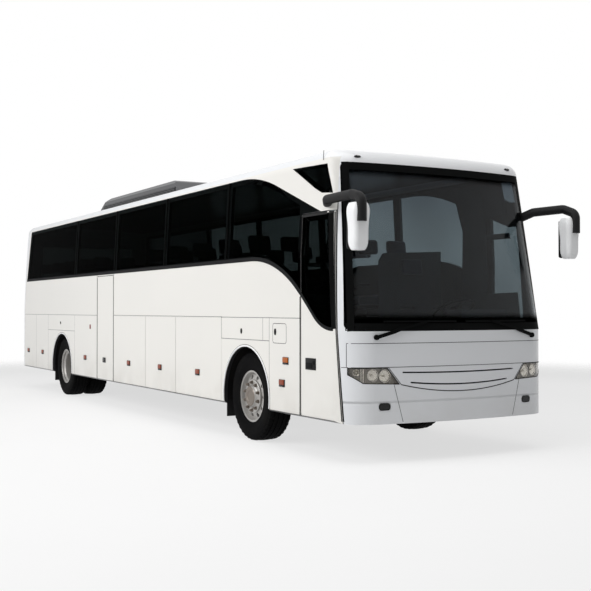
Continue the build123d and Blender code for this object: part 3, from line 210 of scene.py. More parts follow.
# %% Groups and materials
def open_group(name, inputs, outputs):
    """A node group with named sockets, and its two end nodes."""
    tree = bpy.data.node_groups.new(name, "ShaderNodeTree")
    for label, kind, value in inputs:
        tree.interface.new_socket(label, in_out="INPUT", socket_type=kind).default_value = value
    for label, kind in outputs:
        tree.interface.new_socket(label, in_out="OUTPUT", socket_type=kind)
    return tree, tree.nodes.new("NodeGroupInput").outputs, tree.nodes.new("NodeGroupOutput").inputs


def use_group(tree, group, **values):
    """Place a node group in a material and set its named inputs."""
    node = tree.nodes.new("ShaderNodeGroup")
    node.node_tree = group
    for label, value in values.items():
        wire(tree, value, node.inputs[label])
    return node.outputs


def finish(name, **sockets):
    """A new material; plain values go straight onto the shader's own sockets."""
    made = bpy.data.materials.new(name)
    made.use_nodes = True
    shader = made.node_tree.nodes["Principled BSDF"]
    for label, value in sockets.items():
        shader.inputs[label.replace("_", " ")].default_value = value
    return made, made.node_tree, shader.inputs


FLOAT, COLOUR, NORMAL = "NodeSocketFloat", "NodeSocketColor", "NodeSocketVector"
SURFACE = [("Colour", COLOUR), ("Roughness", FLOAT), ("Normal", NORMAL)]
print("a surface group puts out", [label for label, kind in SURFACE])

# %% [markdown]
# ## The film on the paint
# Real paint is never one flat colour: it has a faint ripple, slow changes of tone and a film of road
# dust that thickens towards the skirt. Each finish could draw that by itself, but then no two would age
# alike. One group draws it once, and every outside finish places the group with its own values.

# %% Group: weathered skin
DUST_FULL_Z = 0.25
RELIEF = 0.002

skin_group, given, result = open_group(
    "weathered_skin",
    [("Colour", COLOUR, (0.8, 0.8, 0.8, 1)), ("Dust Colour", COLOUR, tone(176, 170, 160)),
     ("Dust", FLOAT, 0.25), ("Dust Top", FLOAT, 0.9), ("Roughness", FLOAT, 0.25), ("Ripple", FLOAT, 0.05)],
    SURFACE)
z = place(skin_group)[2]
film = z.ramp(given["Dust Top"], DUST_FULL_Z) * noise(skin_group, 2.3, 5.0).ramp(0.3, 0.75) * given["Dust"]
cloud = noise(skin_group, 0.6, 2.0).ramp(0.3, 0.7)
slow = mix_colour(skin_group, cloud * 0.05, given["Colour"], tone(190, 192, 196))
peel = noise(skin_group, 140.0, 1.0)
wire(skin_group, mix_colour(skin_group, film, slow, given["Dust Colour"]), result["Colour"])
wire(skin_group, film * 0.5 + cloud * 0.04 + given["Roughness"], result["Roughness"])
wire(skin_group, bump(skin_group, peel, given["Ripple"], RELIEF), result["Normal"])
print("group", skin_group.name, "nodes", len(skin_group.nodes))

# %% [markdown]
# ## Grain
# Moulded plastic, rubber, cloth and cast metal look alike from afar but differ in the size and depth of
# their grain. A second group makes fine specks that gather in larger stains, and lets the specks pit
# the surface too.

# %% Group: fine grain
grain_group, given, result = open_group(
    "fine_grain",
    [("Colour", COLOUR, (0.1, 0.1, 0.1, 1)), ("Pale", COLOUR, (0.2, 0.2, 0.2, 1)), ("Scale", FLOAT, 300.0),
     ("Spread", FLOAT, 0.5), ("Roughness", FLOAT, 0.6), ("Depth", FLOAT, 0.2)], SURFACE)
specks = noise(grain_group, given["Scale"], 3.0)
fleck = specks * noise(grain_group, 3.0, 4.0).ramp(0.35, 0.75) * given["Spread"]
wire(grain_group, mix_colour(grain_group, fleck, given["Colour"], given["Pale"]), result["Colour"])
wire(grain_group, fleck * 0.3 + given["Roughness"], result["Roughness"])
wire(grain_group, bump(grain_group, specks, given["Depth"], RELIEF), result["Normal"])
print("group", grain_group.name, "nodes", len(grain_group.nodes))

# %% [markdown]
# ## Seams between the fixed panels
# Fixed panels of a coach meet in fine dark joints, a few millimetres wide. They could be cut into the
# mesh, but the solids stay untouched here, so they are drawn as a mask from two short tables: upright
# joints at a station between two heights, and level joints at a height between two stations.

# %% Group: panel seams
UPRIGHT_SEAMS = [(1.70, 0.38, 1.40), (1.85, 1.15, 1.40), (2.90, 1.15, 1.40), (8.62, 0.38, 1.40),
                 (10.19, 0.38, 1.40), (10.98, 0.38, 1.40), (11.80, 0.38, 1.50)]
LEVEL_SEAMS = [(1.40, 1.03, 2.89), (1.404, 2.89, 6.69), (1.40, 7.46, 11.80), (1.15, 1.70, 2.90),
               (1.13, 8.62, 10.19)]
SEAM_HALF, SIDE_FROM_X = 0.0035, 1.2


def seam_lines(across, along, table, half):
    """One mask for each (place, start, end) of a table."""
    return [abs(across - spot).below(half) * along.above(start) * along.below(end)
            for spot, start, end in table]


seam_group, given, result = open_group("panel_seams", [("Width", FLOAT, SEAM_HALF)], [("Mask", FLOAT)])
x, y, z = place(seam_group)
behind = y - NOSE
lines = seam_lines(behind, z, UPRIGHT_SEAMS, given["Width"])
lines += seam_lines(z, behind, LEVEL_SEAMS, given["Width"])
mask = lines[0]
for line in lines[1:]:
    mask = mask.at_least(line)
wire(seam_group, mask * abs(x).above(SIDE_FROM_X), result["Mask"])
print("seams", len(lines))

# %% [markdown]
# ## What lies behind the skin
# A wall panel is one solid, white outside, but the rebates of its windows, its inner face and the ceiling
# are painted nearly black: a dark lining that is also painted shade for the unlit inside. The outer skin
# is known by formula: a bowed front, round front corners, and walls that lean in above the sill. A mask
# compares each point with that skin and is one wherever the point lies deeper, ahead of the tail.

# %% Group: behind the skin
BOW_RADIUS, CORNER_RADIUS, CORNER_X, CORNER_STATION = 7.0, 0.33, 0.945, 0.397
SCREEN_BASE_Z, SCREEN_RAKE = 1.28, 0.2
CEILING_Z, CEILING_HALF, CEILING_START = 3.105, 1.08, 0.75
TAIL_LINING, TAIL_RAKE, TAIL_RAKE_Z = 11.85, 0.15, 1.5

lining_and_shade_group, given, result = open_group(
    "behind_skin", [("Depth", FLOAT, 0.006), ("Nose Depth", FLOAT, 0.03), ("Below", FLOAT, 2.98)],
    [("Mask", FLOAT)])
x, y, z = place(lining_and_shade_group)
behind = y - NOSE
rake = (z - SCREEN_BASE_Z).at_least(0.0) * SCREEN_RAKE
ahead = (rake + CORNER_STATION - behind).at_least(0.0).at_most(CORNER_RADIUS)
corner = (ahead * ahead * -1.0 + CORNER_RADIUS**2).math("SQRT") + CORNER_X
wall = (z - SILL_Z).at_least(0.0) * (-LEAN / (EAVE_Z - SILL_Z)) + HALF_WIDTH
beside = (corner.at_most(wall) - abs(x)).above(given["Depth"])
bowed_front = x * x * (1 / (2 * BOW_RADIUS)) + rake
within = (behind - bowed_front).above(given["Nose Depth"])
before_tail = ((z - TAIL_RAKE_Z).at_least(0.0) * TAIL_RAKE + behind).below(TAIL_LINING)
lower = beside * within * before_tail * z.below(given["Below"])
ceiling = z.below(CEILING_Z) * abs(x).below(CEILING_HALF) * behind.above(CEILING_START) * before_tail
wire(lining_and_shade_group, lower.at_least(ceiling), result["Mask"])
print("group", lining_and_shade_group.name, "nodes", len(lining_and_shade_group.nodes))

# %% [markdown]
# ## Paint
# The body is one warm white gloss paint. Side panels, doors and flaps add the seams and the dark
# lining, which is also painted shade for the unlit inside; the front and the rear add the film of dust,
# and the bumper a pressed crease. The front, the rear, the roof and the bumper take a cooler white as
# painted shade, and the front cap, arch lips and mirror shells a brighter white as painted light where
# they catch the lamps. A thin clear coat gives the soft reflections of coach enamel. Small closed
# pieces, such as a mirror's shell, need no lining.

# %% Coach white
# The second, cooler white is painted shade: a shaded copy of the paint for the ends, the roof and the bumper.
WHITE, SHADE_COOL_WHITE = tone(232, 230, 225), tone(229, 231, 234)
# The lining colour is nearly black: a dark lining and painted shade for the unlit inside.
LINING_AND_SHADE, SEAM_DARK = tone(30, 30, 32), tone(84, 84, 84)
CREASE_LOW, CREASE_HIGH, CREASE_DEPTH = 0.582, 0.612, 0.02
RIPPLE, ENAMEL_INDEX = 0.04, 1.45


def paint(name, colour, dust, seams=False, crease=False):
    """White enamel with dust on it and a dark lining behind it, painted shade too; seams and a pressed crease
    where asked.
    """
    made, tree, sockets = finish(name, Coat_Weight=0.3, Coat_Roughness=0.08, IOR=ENAMEL_INDEX)
    skin = use_group(tree, skin_group, Colour=colour, Dust=dust, Ripple=RIPPLE, Roughness=0.3)
    shown, surface = skin["Colour"], skin["Normal"]
    if seams:
        shown = mix_colour(tree, use_group(tree, seam_group)["Mask"], shown, SEAM_DARK)
    if crease:
        surface = bump(tree, place(tree)[2].ramp(CREASE_LOW, CREASE_HIGH), 1.0, CREASE_DEPTH, surface)
    # Behind the skin the paint turns to the dark lining, painted shade too.
    shown = mix_colour(tree, use_group(tree, lining_and_shade_group)["Mask"], shown, LINING_AND_SHADE)
    wire(tree, shown, sockets["Base Color"])
    wire(tree, skin["Roughness"], sockets["Roughness"])
    wire(tree, surface, sockets["Normal"])
    return made


def wire_surface(tree, surface, sockets):
    """Link a surface group's three outputs to a shader."""
    for label, socket in (("Colour", "Base Color"), ("Roughness", "Roughness"), ("Normal", "Normal")):
        wire(tree, surface[label], sockets[socket])


def plain_paint(name, colour, coat):
    """Clean enamel of a piece that has no inside: the skin group alone."""
    made, tree, sockets = finish(name, Coat_Weight=coat, Coat_Roughness=0.1, IOR=ENAMEL_INDEX)
    skin = use_group(tree, skin_group, Colour=colour, Dust=0.0, Ripple=RIPPLE, Roughness=0.32)
    wire_surface(tree, skin, sockets)
    return made


side_white = paint("side_white", WHITE, 0.3, seams=True)
# The ends, the roof and the bumper take the cooler copy of the white, as painted shade.
end_shade_white = paint("end_shade_white", SHADE_COOL_WHITE, 0.2)
bumper_shade_white = paint("bumper_shade_white", SHADE_COOL_WHITE, 0.2, crease=True)
# The front cap and the mirror shells take brighter copies of the white: painted light where they catch the
# lamps.
cap_lit_white = paint("cap_lit_white", tone(244, 245, 247), 0.0)
shell_lit_white = plain_paint("shell_lit_white", tone(248, 249, 250), 0.2)
unit_grey = plain_paint("roof_unit_grey", tone(47, 48, 51), 0.0)
print("paints", side_white.name, end_shade_white.name, unit_grey.name)

# %% [markdown]
# ## Glass
# Coach side glass is tinted almost black and its edges are printed solid black, which also hides the
# glue. The windscreen is only lightly tinted, so the seats and the dashboard show through it. The print
# could be a mesh of its own; as a mask on the colour it costs nothing, and black glass passes no light.
# A low index keeps reflections faint, and the print takes what is left of the shine away.

# %% Tinted glass
PRINT_INDEX = 1.01
PRINT_BLACK, TINT_DRIFT = tone(4, 5, 5), tone(40, 44, 46)


def tinted(name, tint, index, border):
    """Flush glass: a tint that slowly varies and a black printed border."""
    made, tree, sockets = finish(name, Transmission_Weight=1.0, Metallic=0.0, Roughness=0.0, IOR=index)
    drift = noise(tree, 0.7, 2.0).ramp(0.3, 0.8)
    shaded = mix_colour(tree, drift * 0.25, tint(tree), TINT_DRIFT)
    edge = border(tree)
    wire(tree, mix_colour(tree, edge, shaded, PRINT_BLACK), sockets["Base Color"])
    wire(tree, edge * (PRINT_INDEX - index) + index, sockets["IOR"])
    return made


print("print index", PRINT_INDEX)

# %% [markdown]
# ## Tints and borders of the panes
# Daylight reaches the cabin through the driver's side, whose panes are tinted less, apart from the last
# one. The windscreen gets deeper towards its top. The borders follow each pane: a strip along the foot
# of the side panes, and a frame with soft inner edges on the windscreen and the rear window.

# %% Panes
LAST_PANE, STRIP_START, STRIP_TOP_Z = 8.62, 2.0, 2.085
FRAME_SIDE, FRAME_HEAD = 0.02, 0.07
SCREEN_LOW, SCREEN_HIGH = (1.240, 1.28), (1.145, 2.95)
REAR_LOW, REAR_HIGH = (0.98, 2.06), (0.98, 2.80)


def privacy_tint(tree):
    """Nearly black, but lighter on the driver's side ahead of the last pane."""
    x, y, z = place(tree)
    return mix_colour(tree, x.above(0.0) * y.below(at(LAST_PANE)), tone(60, 66, 66), tone(132, 142, 144))


def screen_tint(tree):
    """A light grey-blue, deeper towards the top of the windscreen."""
    return mix_colour(tree, place(tree)[2].ramp(2.2, 2.95), tone(160, 170, 176), tone(120, 128, 140))


def sill_border(tree):
    """The dark strip along the foot of the level side panes."""
    x, y, z = place(tree)
    return (y - NOSE).above(STRIP_START) * z.below(STRIP_TOP_Z)


def frame_border(lower, upper, foot, soft):
    """A black frame inside a pane between two (half width, height) corners, with soft inner edges."""
    (low_half, low), (high_half, high) = lower, upper
    slope = (high_half - low_half) / (high - low)

    def border(tree):
        x, y, z = place(tree)
        to_side = z * slope + (low_half - low * slope) - abs(x)
        below = z.ramp(low + foot + soft, low + foot)
        above = z.ramp(high - FRAME_HEAD - soft, high - FRAME_HEAD)
        return below.at_least(above).at_least(to_side.ramp(FRAME_SIDE + soft, FRAME_SIDE))
    return border


side_glass = tinted("side_glass", privacy_tint, 1.012, sill_border)
screen_glass = tinted("screen_glass", screen_tint, 1.25, frame_border(SCREEN_LOW, SCREEN_HIGH, 0.10, 0.09))
rear_glass = tinted("rear_glass", privacy_tint, 1.02, frame_border(REAR_LOW, REAR_HIGH, 0.06, 0.02))
print("glass", side_glass.name, screen_glass.name, rear_glass.name)

# %% [markdown]
# ## Plastics, rubber, metal and cloth
# The remaining finishes all place the grain group, each with a base colour, the colour of its flecks,
# and the size, roughness and depth of its grain. Rubber and matt plastic also lose most of their mirror
# shine.

# %% Grainy finishes
def grainy(name, colour, pale, scale, roughness, depth, **sockets):
    """Moulded, cast or woven finish from the grain group."""
    made, tree, inputs = finish(name, **sockets)
    grain = use_group(tree, grain_group, Colour=tone(*colour), Pale=tone(*pale), Scale=scale,
                      Roughness=roughness, Depth=depth)
    wire_surface(tree, grain, inputs)
    return made


dark_plastic = grainy("dark_plastic", (17, 17, 18), (46, 46, 48), 420.0, 0.5, 0.12, Specular_IOR_Level=0.15)
seal_rubber = grainy("seal_rubber", (15, 15, 16), (46, 46, 46), 260.0, 0.62, 0.15, Specular_IOR_Level=0.2)
tyre_rubber = grainy("tyre_rubber", (8, 8, 9), (34, 33, 31), 160.0, 0.85, 0.3, Specular_IOR_Level=0.06)
trim_grey = grainy("trim_grey", (19, 20, 21), (44, 44, 46), 220.0, 0.65, 0.1, Specular_IOR_Level=0.08)
joint_black = grainy("joint_black", (7, 8, 8), (26, 26, 27), 220.0, 0.7, 0.1, Specular_IOR_Level=0.04)
chassis_black = grainy("chassis_black", (13, 13, 14), (58, 53, 48), 90.0, 0.7, 0.2, Specular_IOR_Level=0.1)
cast_iron = grainy("cast_iron", (48, 47, 46), (104, 88, 72), 120.0, 0.65, 0.4, Metallic=0.4)
wheel_silver = grainy("wheel_silver", (176, 174, 171), (104, 97, 88), 26.0, 0.32, 0.15, Metallic=0.35)
hub_steel = grainy("hub_steel", (128, 120, 112), (78, 64, 52), 60.0, 0.4, 0.25, Metallic=0.7)
mirror_silver = grainy("mirror_silver", (226, 230, 234), (200, 204, 208), 8.0, 0.03, 0.0, Metallic=1.0)
floor_vinyl = grainy("floor_vinyl", (62, 64, 68), (120, 122, 126), 500.0, 0.55, 0.15)
dash_vinyl = grainy("dash_vinyl", (54, 58, 62), (90, 93, 97), 600.0, 0.6, 0.25)
seat_cloth = grainy("seat_cloth", (38, 44, 62), (92, 98, 118), 700.0, 0.9, 0.5, Sheen_Weight=0.3)
# The reflectors' silver has darker streaks in it: painted reflections.
lamp_silver_painted_reflections = grainy("lamp_silver_painted_reflections", (186, 182, 174), (66, 60, 52), 40.0, 0.16, 0.1, Metallic=0.9)
lamp_shade = grainy("lamp_shade", (132, 126, 116), (58, 53, 46), 34.0, 0.3, 0.2)
smoked_lens = grainy("smoked_lens", (11, 12, 14), (34, 36, 40), 40.0, 0.12, 0.05, Specular_IOR_Level=0.3)
print("finishes", len(bpy.data.materials))

# %% [markdown]
# ## Lamp lenses
# Lamp lenses are moulded in coloured plastic with fine ribs that spread the light. The ribs could be
# modelled, but they are too shallow to change the outline. A sine wave along the lens serves instead, and
# twice: it darkens the colour between the ribs, painted shade in the grooves, and raises them.

# %% Ribbed lenses
def wave(signal, pitch):
    """A sine wave along a signal, from minus one to one."""
    return (signal * (2 * math.pi / pitch)).math("SINE")


def ribbed(name, colour, rib_shade, pitch):
    """Lamp plastic with upright ribs, darker between them as painted shade in the grooves."""
    made, tree, inputs = finish(name, Roughness=0.3, Coat_Weight=0.1, Coat_Roughness=0.05,
                                Specular_IOR_Level=0.25)
    x, y, z = place(tree)
    ribs = wave(x + y, pitch)
    wire(tree, mix_colour(tree, ribs.ramp(-1.0, 1.0), tone(*rib_shade), tone(*colour)), inputs["Base Color"])
    wire(tree, bump(tree, ribs, 0.3, RELIEF), inputs["Normal"])
    return made


amber_lens = ribbed("amber_lens", (158, 66, 20), (104, 34, 9), 0.012)
orange_lens = ribbed("orange_lens", (196, 106, 16), (140, 62, 8), 0.012)
red_lens = ribbed("red_lens", (158, 26, 22), (104, 12, 10), 0.014)
clear_ribs = ribbed("clear_ribs", (206, 206, 202), (150, 148, 142), 0.016)

print("lenses", amber_lens.name, orange_lens.name, red_lens.name, clear_ribs.name)

# %% [markdown]
# ## Tail lamps and headlamp covers
# A tail lamp is one moulding in several colours, so its zones are stacked by height, each laid over the one
# below it, and darker bands across them are painted shade in its grooves. A headlamp's cover is clear
# plastic, and a breath of haze keeps it from looking like nothing.

# %% Tail lens and clear cover
TAIL_FOOT, TAIL_GROOVE_SHADE, TAIL_PITCH = tone(132, 12, 10), tone(60, 10, 8), 0.02
TAIL_ZONES = [(0.86, tone(206, 204, 198)), (0.97, tone(150, 16, 14)), (1.19, tone(204, 96, 18)),
              (1.29, tone(140, 14, 12))]
tail_lens, tree, inputs = finish("tail_lens", Roughness=0.25, Coat_Weight=0.2, Coat_Roughness=0.05)
height = place(tree)[2]
shown = TAIL_FOOT
for low, colour in TAIL_ZONES:
    shown = mix_colour(tree, height.above(low), shown, colour)
# Darker bands across the zones: painted shade in the lens's grooves.
groove_shade = wave(height, TAIL_PITCH).ramp(-1.0, 3.0)
wire(tree, mix_colour(tree, groove_shade, shown, TAIL_GROOVE_SHADE), inputs["Base Color"])

lamp_cover, tree, inputs = finish("lamp_cover", Transmission_Weight=1.0, IOR=1.3, Metallic=0.0)
haze = noise(tree, 6.0, 3.0).ramp(0.3, 0.8)
wire(tree, mix_colour(tree, haze, tone(250, 250, 250), tone(238, 237, 234)), inputs["Base Color"])
wire(tree, haze * 0.03, inputs["Roughness"])
print("lenses", tail_lens.name, "zones", len(TAIL_ZONES) + 1, lamp_cover.name)

# %% [markdown]
# ## Give every solid its finish
# Each solid belongs to a material slot of the record. A short table turns slots into finishes, and a
# second one names the few solids that need their own. Panels of the sides take the paint that carries
# the seams.

# %% Finish the solids
SLOT_FINISH = {
    "body_paint": end_shade_white, "mirror_shell": shell_lit_white, "side_glass": side_glass, "tyre": tyre_rubber,
    "screen_glass": screen_glass, "clear_lamp": clear_ribs, "red_lamp": red_lens, "amber_lamp": amber_lens,
    "dark_trim": dark_plastic, "roof_unit": unit_grey, "rubber_flap": seal_rubber,
    "wheel_steel": wheel_silver, "chassis": chassis_black, "axle_iron": cast_iron,
    "floor_cover": floor_vinyl, "dash_plastic": dash_vinyl, "seat_cloth": seat_cloth}
OWN_FINISH = {"rear_window": rear_glass, "front_bumper": bumper_shade_white, "front_cap": cap_lit_white,
              "tail_lamps": tail_lens}
SIDE_NODES = ("driver_side_wall", "kerb_side_wall", "front_door", "middle_door", "luggage_flap")

for entry in frame["record"]["subparts"]:
    name, slot = entry["node"], entry["material_slot"]
    chosen = side_white if slot == "body_paint" and name.startswith(SIDE_NODES) else SLOT_FINISH[slot]
    chosen = OWN_FINISH.get(name, chosen)
    held = nodes[name].data.materials
    if not held:
        held.append(chosen)
    for index in range(len(held)):
        held[index] = chosen

# %% [markdown]
# ## Helpers for new pieces
# A new piece starts as a bmesh, Blender's editable mesh. Blocks and drums start from a ready shape and get
# their rounded edges from the bevel operator; anything turned is one outline, spun about its axis; and a
# flat sheet becomes a plate by extruding it.

# %% Blocks, drums, turned shapes and plates
def block(bm, low, high, rounding, steps=2):
    """A box between two corners, with rounded edges; returns its vertices."""
    low, high = Vector(low), Vector(high)
    before = set(bm.verts)
    made = bmesh.ops.create_cube(bm, size=1.0)["verts"]
    bmesh.ops.scale(bm, vec=high - low, verts=made)
    bmesh.ops.translate(bm, vec=(low + high) / 2, verts=made)
    edges = list({edge for vert in made for edge in vert.link_edges})
    bmesh.ops.bevel(bm, geom=edges, offset=rounding, affect="EDGES", segments=steps, profile=0.5, material=-1)
    return [vert for vert in bm.verts if vert not in before]


def drum(bm, centre, axis, radius, depth, sides, rounding=0.0):
    """A closed cylinder about an axis, its rims rounded where asked; returns its vertices."""
    before = set(bm.verts)
    turn = Vector((0, 0, 1)).rotation_difference(Vector(axis)).to_matrix().to_4x4()
    bmesh.ops.create_cone(bm, cap_ends=True, segments=sides, radius1=radius, radius2=radius, depth=depth,
                          matrix=Matrix.Translation(centre) @ turn)
    made = [vert for vert in bm.verts if vert not in before]
    if rounding:
        rims = [edge for edge in bm.edges if edge.verts[0] in made and len(edge.link_faces) == 2
                and edge.calc_face_angle() > 1.0]
        bmesh.ops.bevel(bm, geom=rims, offset=rounding, affect="EDGES", segments=2, profile=0.5, material=-1)
    return [vert for vert in bm.verts if vert not in before]


def lathe(bm, outline, centre, axis, steps):
    """Spin an outline of (along the axis, radius) pairs into a ring or bowl."""
    axis = Vector(axis)
    out = axis.orthogonal().normalized()
    points = [bm.verts.new(Vector(centre) + axis * along + out * radius) for along, radius in outline]
    edges = [bm.edges.new(pair) for pair in zip(points, points[1:])]
    bmesh.ops.spin(bm, geom=points + edges, cent=centre, axis=axis, angle=2 * math.pi, steps=steps,
                   use_merge=True)


def grow(bm, faces, shift):
    """Extrude a sheet into a plate."""
    grown = bmesh.ops.extrude_face_region(bm, geom=faces)["geom"]
    bmesh.ops.translate(bm, vec=shift, verts=[part for part in grown if isinstance(part, bmesh.types.BMVert)])


print("helpers make blocks, drums, turned shapes and plates")

# %% [markdown]
# ## From a bmesh to a piece
# A finished bmesh becomes an object that sits at the origin with its place in its mesh. Its faces are
# smoothed up to a crease, it takes its finishes, and it rides on the body that carries it.

# %% Build a piece
def shade(bm, verts, index):
    """Give the faces of some vertices one of their piece's finishes."""
    for face in {face for vert in verts for face in vert.link_faces}:
        face.material_index = index


def build(name, bm, body, slot, *finishes, crease=35.0):
    """Turn a bmesh into a finished piece that rides on a body."""
    bmesh.ops.remove_doubles(bm, verts=bm.verts, dist=1e-5)
    bmesh.ops.recalc_face_normals(bm, faces=bm.faces)
    mesh = bpy.data.meshes.new(name)
    bm.to_mesh(mesh)
    bm.free()
    for chosen in finishes:
        mesh.materials.append(chosen)
    for face in mesh.polygons:
        face.use_smooth = True
    mesh.set_sharp_from_angle(angle=math.radians(crease))
    made = bpy.data.objects.new(name, mesh)
    bpy.context.scene.collection.objects.link(made)
    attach(made, body)
    print(name, "faces", len(mesh.polygons))
    return made


print("new pieces join", len(nodes), "finished solids")

# %% [markdown]
# ## Tyres
# A road tyre is a ring with bulged sides and a tread cut by grooves. It could be a torus with a bump
# map, but the grooves break its outline, so half of its section is drawn, mirrored and spun about the
# axle. Every third face along the shoulders is then pushed in to leave the lugs. Twin tyres share a
# piece, because they turn as one.

# %% Tyre outline and spin
AXLE_Z, WHEEL_X, TWIN_SPACING = 0.505, 1.067, 0.335
FRONT_AXLE, REAR_AXLE = 2.27, 9.35
TYRE_OUTLINE = [
    (-0.110, 0.306), (-0.1262, 0.306), (-0.1262, 0.2935), (-0.129, 0.2945), (-0.130, 0.306), (-0.1295, 0.328),
    (-0.138, 0.352), (-0.1465, 0.395), (-0.144, 0.430), (-0.141, 0.452), (-0.137, 0.456), (-0.135, 0.470),
    (-0.129, 0.487), (-0.120, 0.4925), (-0.092, 0.4975), (-0.090, 0.487), (-0.080, 0.487), (-0.078, 0.499),
    (-0.040, 0.5025), (-0.038, 0.491), (-0.028, 0.491), (-0.026, 0.5035)]
TREAD_STEPS, LUG_EVERY = 120, 3
SHOULDER_X, SHOULDER_RADIUS = 0.1, 0.478


def tyre(bm, side, station, shift):
    """One tyre about its axle, with lugs along both shoulders."""
    centre = Vector((side * (WHEEL_X + shift), at(station), AXLE_Z))
    full = TYRE_OUTLINE + [(-along, radius) for along, radius in reversed(TYRE_OUTLINE)]
    before = set(bm.faces)
    lathe(bm, full + full[:1], centre, (1, 0, 0), TREAD_STEPS)
    slots = []
    for face in set(bm.faces) - before:
        middle = face.calc_center_median() - centre
        turn = math.atan2(middle.z, middle.y) * TREAD_STEPS / (2 * math.pi)
        on_shoulder = abs(middle.x) > SHOULDER_X and middle.yz.length > SHOULDER_RADIUS
        if on_shoulder and int(turn + TREAD_STEPS) % LUG_EVERY == 0:
            slots.append(face)
    bmesh.ops.inset_region(bm, faces=slots, thickness=0.002, depth=-0.0035, use_even_offset=True)


for side, word in SIDES:
    bm = bmesh.new()
    tyre(bm, side, FRONT_AXLE, 0.0)
    piece = build(f"front_tread_{word}", bm, f"front_wheel_unit_{word}", "tyre", tyre_rubber)
    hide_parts(f"front_tyre_{word}")
    bm = bmesh.new()
    for shift in (0.0, -TWIN_SPACING):
        tyre(bm, side, REAR_AXLE, shift)
    piece = build(f"rear_treads_{word}", bm, f"rear_wheel_unit_{word}", "tyre", tyre_rubber)
    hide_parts(f"rear_tyres_{word}")

# %% [markdown]
# ## Wheel nuts and hubs
# Ten nuts hold each wheel on a bolt circle round the hub. Each is a six-sided drum with a washer and a
# stud end, and the hub gets a turned cap. The rear wheels are dished, so the stepped well of the rim
# shows inside them. All of it is turned about the axle, which makes the lathe the natural tool.

# %% Wheel fixings
NUT_COUNT, NUT_CIRCLE, CAP_RADIUS = 10, 0.158, 0.118
NUT_PARTS = [(0.002, 0.022, 0.010, 20, 0.0), (0.014, 0.018, 0.026, 6, 0.0015), (0.030, 0.010, 0.014, 12, 0.0)]
FRONT_HUB = [(0.100, 0.190), (0.116, 0.190), (0.120, 0.184), (0.120, 0.126), (0.150, 0.113), (0.156, 0.105),
             (0.156, 0.062), (0.151, 0.056), (0.151, 0.0)]
REAR_HUB = [(-0.046, 0.068), (-0.034, 0.068), (-0.030, 0.062), (-0.028, 0.037), (-0.034, 0.034),
            (-0.034, 0.0)]
RIM_WELL = [(0.120, 0.2725), (0.112, 0.265), (0.088, 0.262), (0.066, 0.240), (0.012, 0.236), (-0.030, 0.250),
            (-0.150, 0.252), (-0.156, 0.260), (0.120, 0.2725)]
FRONT_FACE, REAR_FACE = 0.119, -0.163


def wheel_fixings(name, side, station, face, hub, body, well=()):
    """A turned hub, the nuts round it and the rim's well; places count outwards from the wheel's middle."""
    bm = bmesh.new()
    centre = Vector((side * WHEEL_X, at(station), AXLE_Z))
    out = Vector((side, 0, 0))
    lathe(bm, hub, centre, out, 48)
    for ring in bm.faces:
        ring.material_index = int((ring.calc_center_median() - centre).yz.length < CAP_RADIUS)
    if well:
        lathe(bm, well, centre, out, 64)
    for number in range(NUT_COUNT):
        turn = 2 * math.pi * (number + 0.5) / NUT_COUNT
        spot = centre + Vector((0, math.cos(turn), math.sin(turn))) * NUT_CIRCLE + out * face
        for proud, radius, depth, sides, rounding in NUT_PARTS:
            shade(bm, drum(bm, spot + out * proud, out, radius, depth, sides, rounding), 1)
    build(name, bm, body, "wheel_steel", wheel_silver, hub_steel)


for side, word in SIDES:
    front_unit, rear_unit = f"front_wheel_unit_{word}", f"rear_wheel_unit_{word}"
    wheel_fixings(f"front_fixings_{word}", side, FRONT_AXLE, FRONT_FACE, FRONT_HUB, front_unit)
    wheel_fixings(f"rear_fixings_{word}", side, REAR_AXLE, REAR_FACE, REAR_HUB, rear_unit, RIM_WELL)

# %% [markdown]
# ## Places on the skin
# Most of the remaining pieces lie on the body: trims, seals, seams and lamps. They could be shrink-wrapped,
# but the skin is known by formula, so two functions give a point on the front or on a side together with
# the direction that faces away from it.

# %% Points on the skin
BOW_EDGE = 0.992
SEAM_FOOT, SEAM_LEAN, SKIRT_Z = 0.25, 0.085, 0.385
PROBE = 0.001


def front_station(x, z):
    """How far behind the nose the front lies at a half width and a height."""
    across = abs(x)
    if across <= BOW_EDGE:
        back = BOW_RADIUS - math.sqrt(BOW_RADIUS**2 - across**2)
    else:
        back = CORNER_STATION - math.sqrt(CORNER_RADIUS**2 - (across - CORNER_X) ** 2)
    return back + SCREEN_RAKE * max(0.0, z - SCREEN_BASE_Z)


def skin_half(station, z):
    """Half width of the body at a station and a height, round the front corner too."""
    ahead = CORNER_STATION + SCREEN_RAKE * max(0.0, z - SCREEN_BASE_Z) - station
    ahead = min(max(ahead, 0.0), CORNER_RADIUS)
    return min(CORNER_X + math.sqrt(CORNER_RADIUS**2 - ahead**2), wall_x(z))


def seam_station(z):
    """Where the front panels end and the sides begin."""
    return SEAM_FOOT + SEAM_LEAN * (z - SKIRT_Z)


def slopes(height_at, first, second):
    """How a surface climbs along its two directions at a place."""
    return ((height_at(first + PROBE, second) - height_at(first - PROBE, second)) / (2 * PROBE),
            (height_at(first, second + PROBE) - height_at(first, second - PROBE)) / (2 * PROBE))


def on_front(x, z, out=0.0):
    """A point on the front, moved out by a distance, and the direction that faces away there."""
    lean, rise = slopes(front_station, x, z)
    away = Vector((lean, -1.0, rise)).normalized()
    return Vector((x, at(front_station(x, z)), z)) + away * out, away


def on_side(side, station, z, out=0.0):
    """A point on a side, moved out by a distance, and the direction that faces away there."""
    lean, rise = slopes(skin_half, station, z)
    away = Vector((side, -lean, -rise)).normalized()
    return Vector((side * skin_half(station, z), at(station), z)) + away * out, away


print("door seam at foot and sill", seam_station(SKIRT_Z), round(seam_station(SILL_Z), 3))

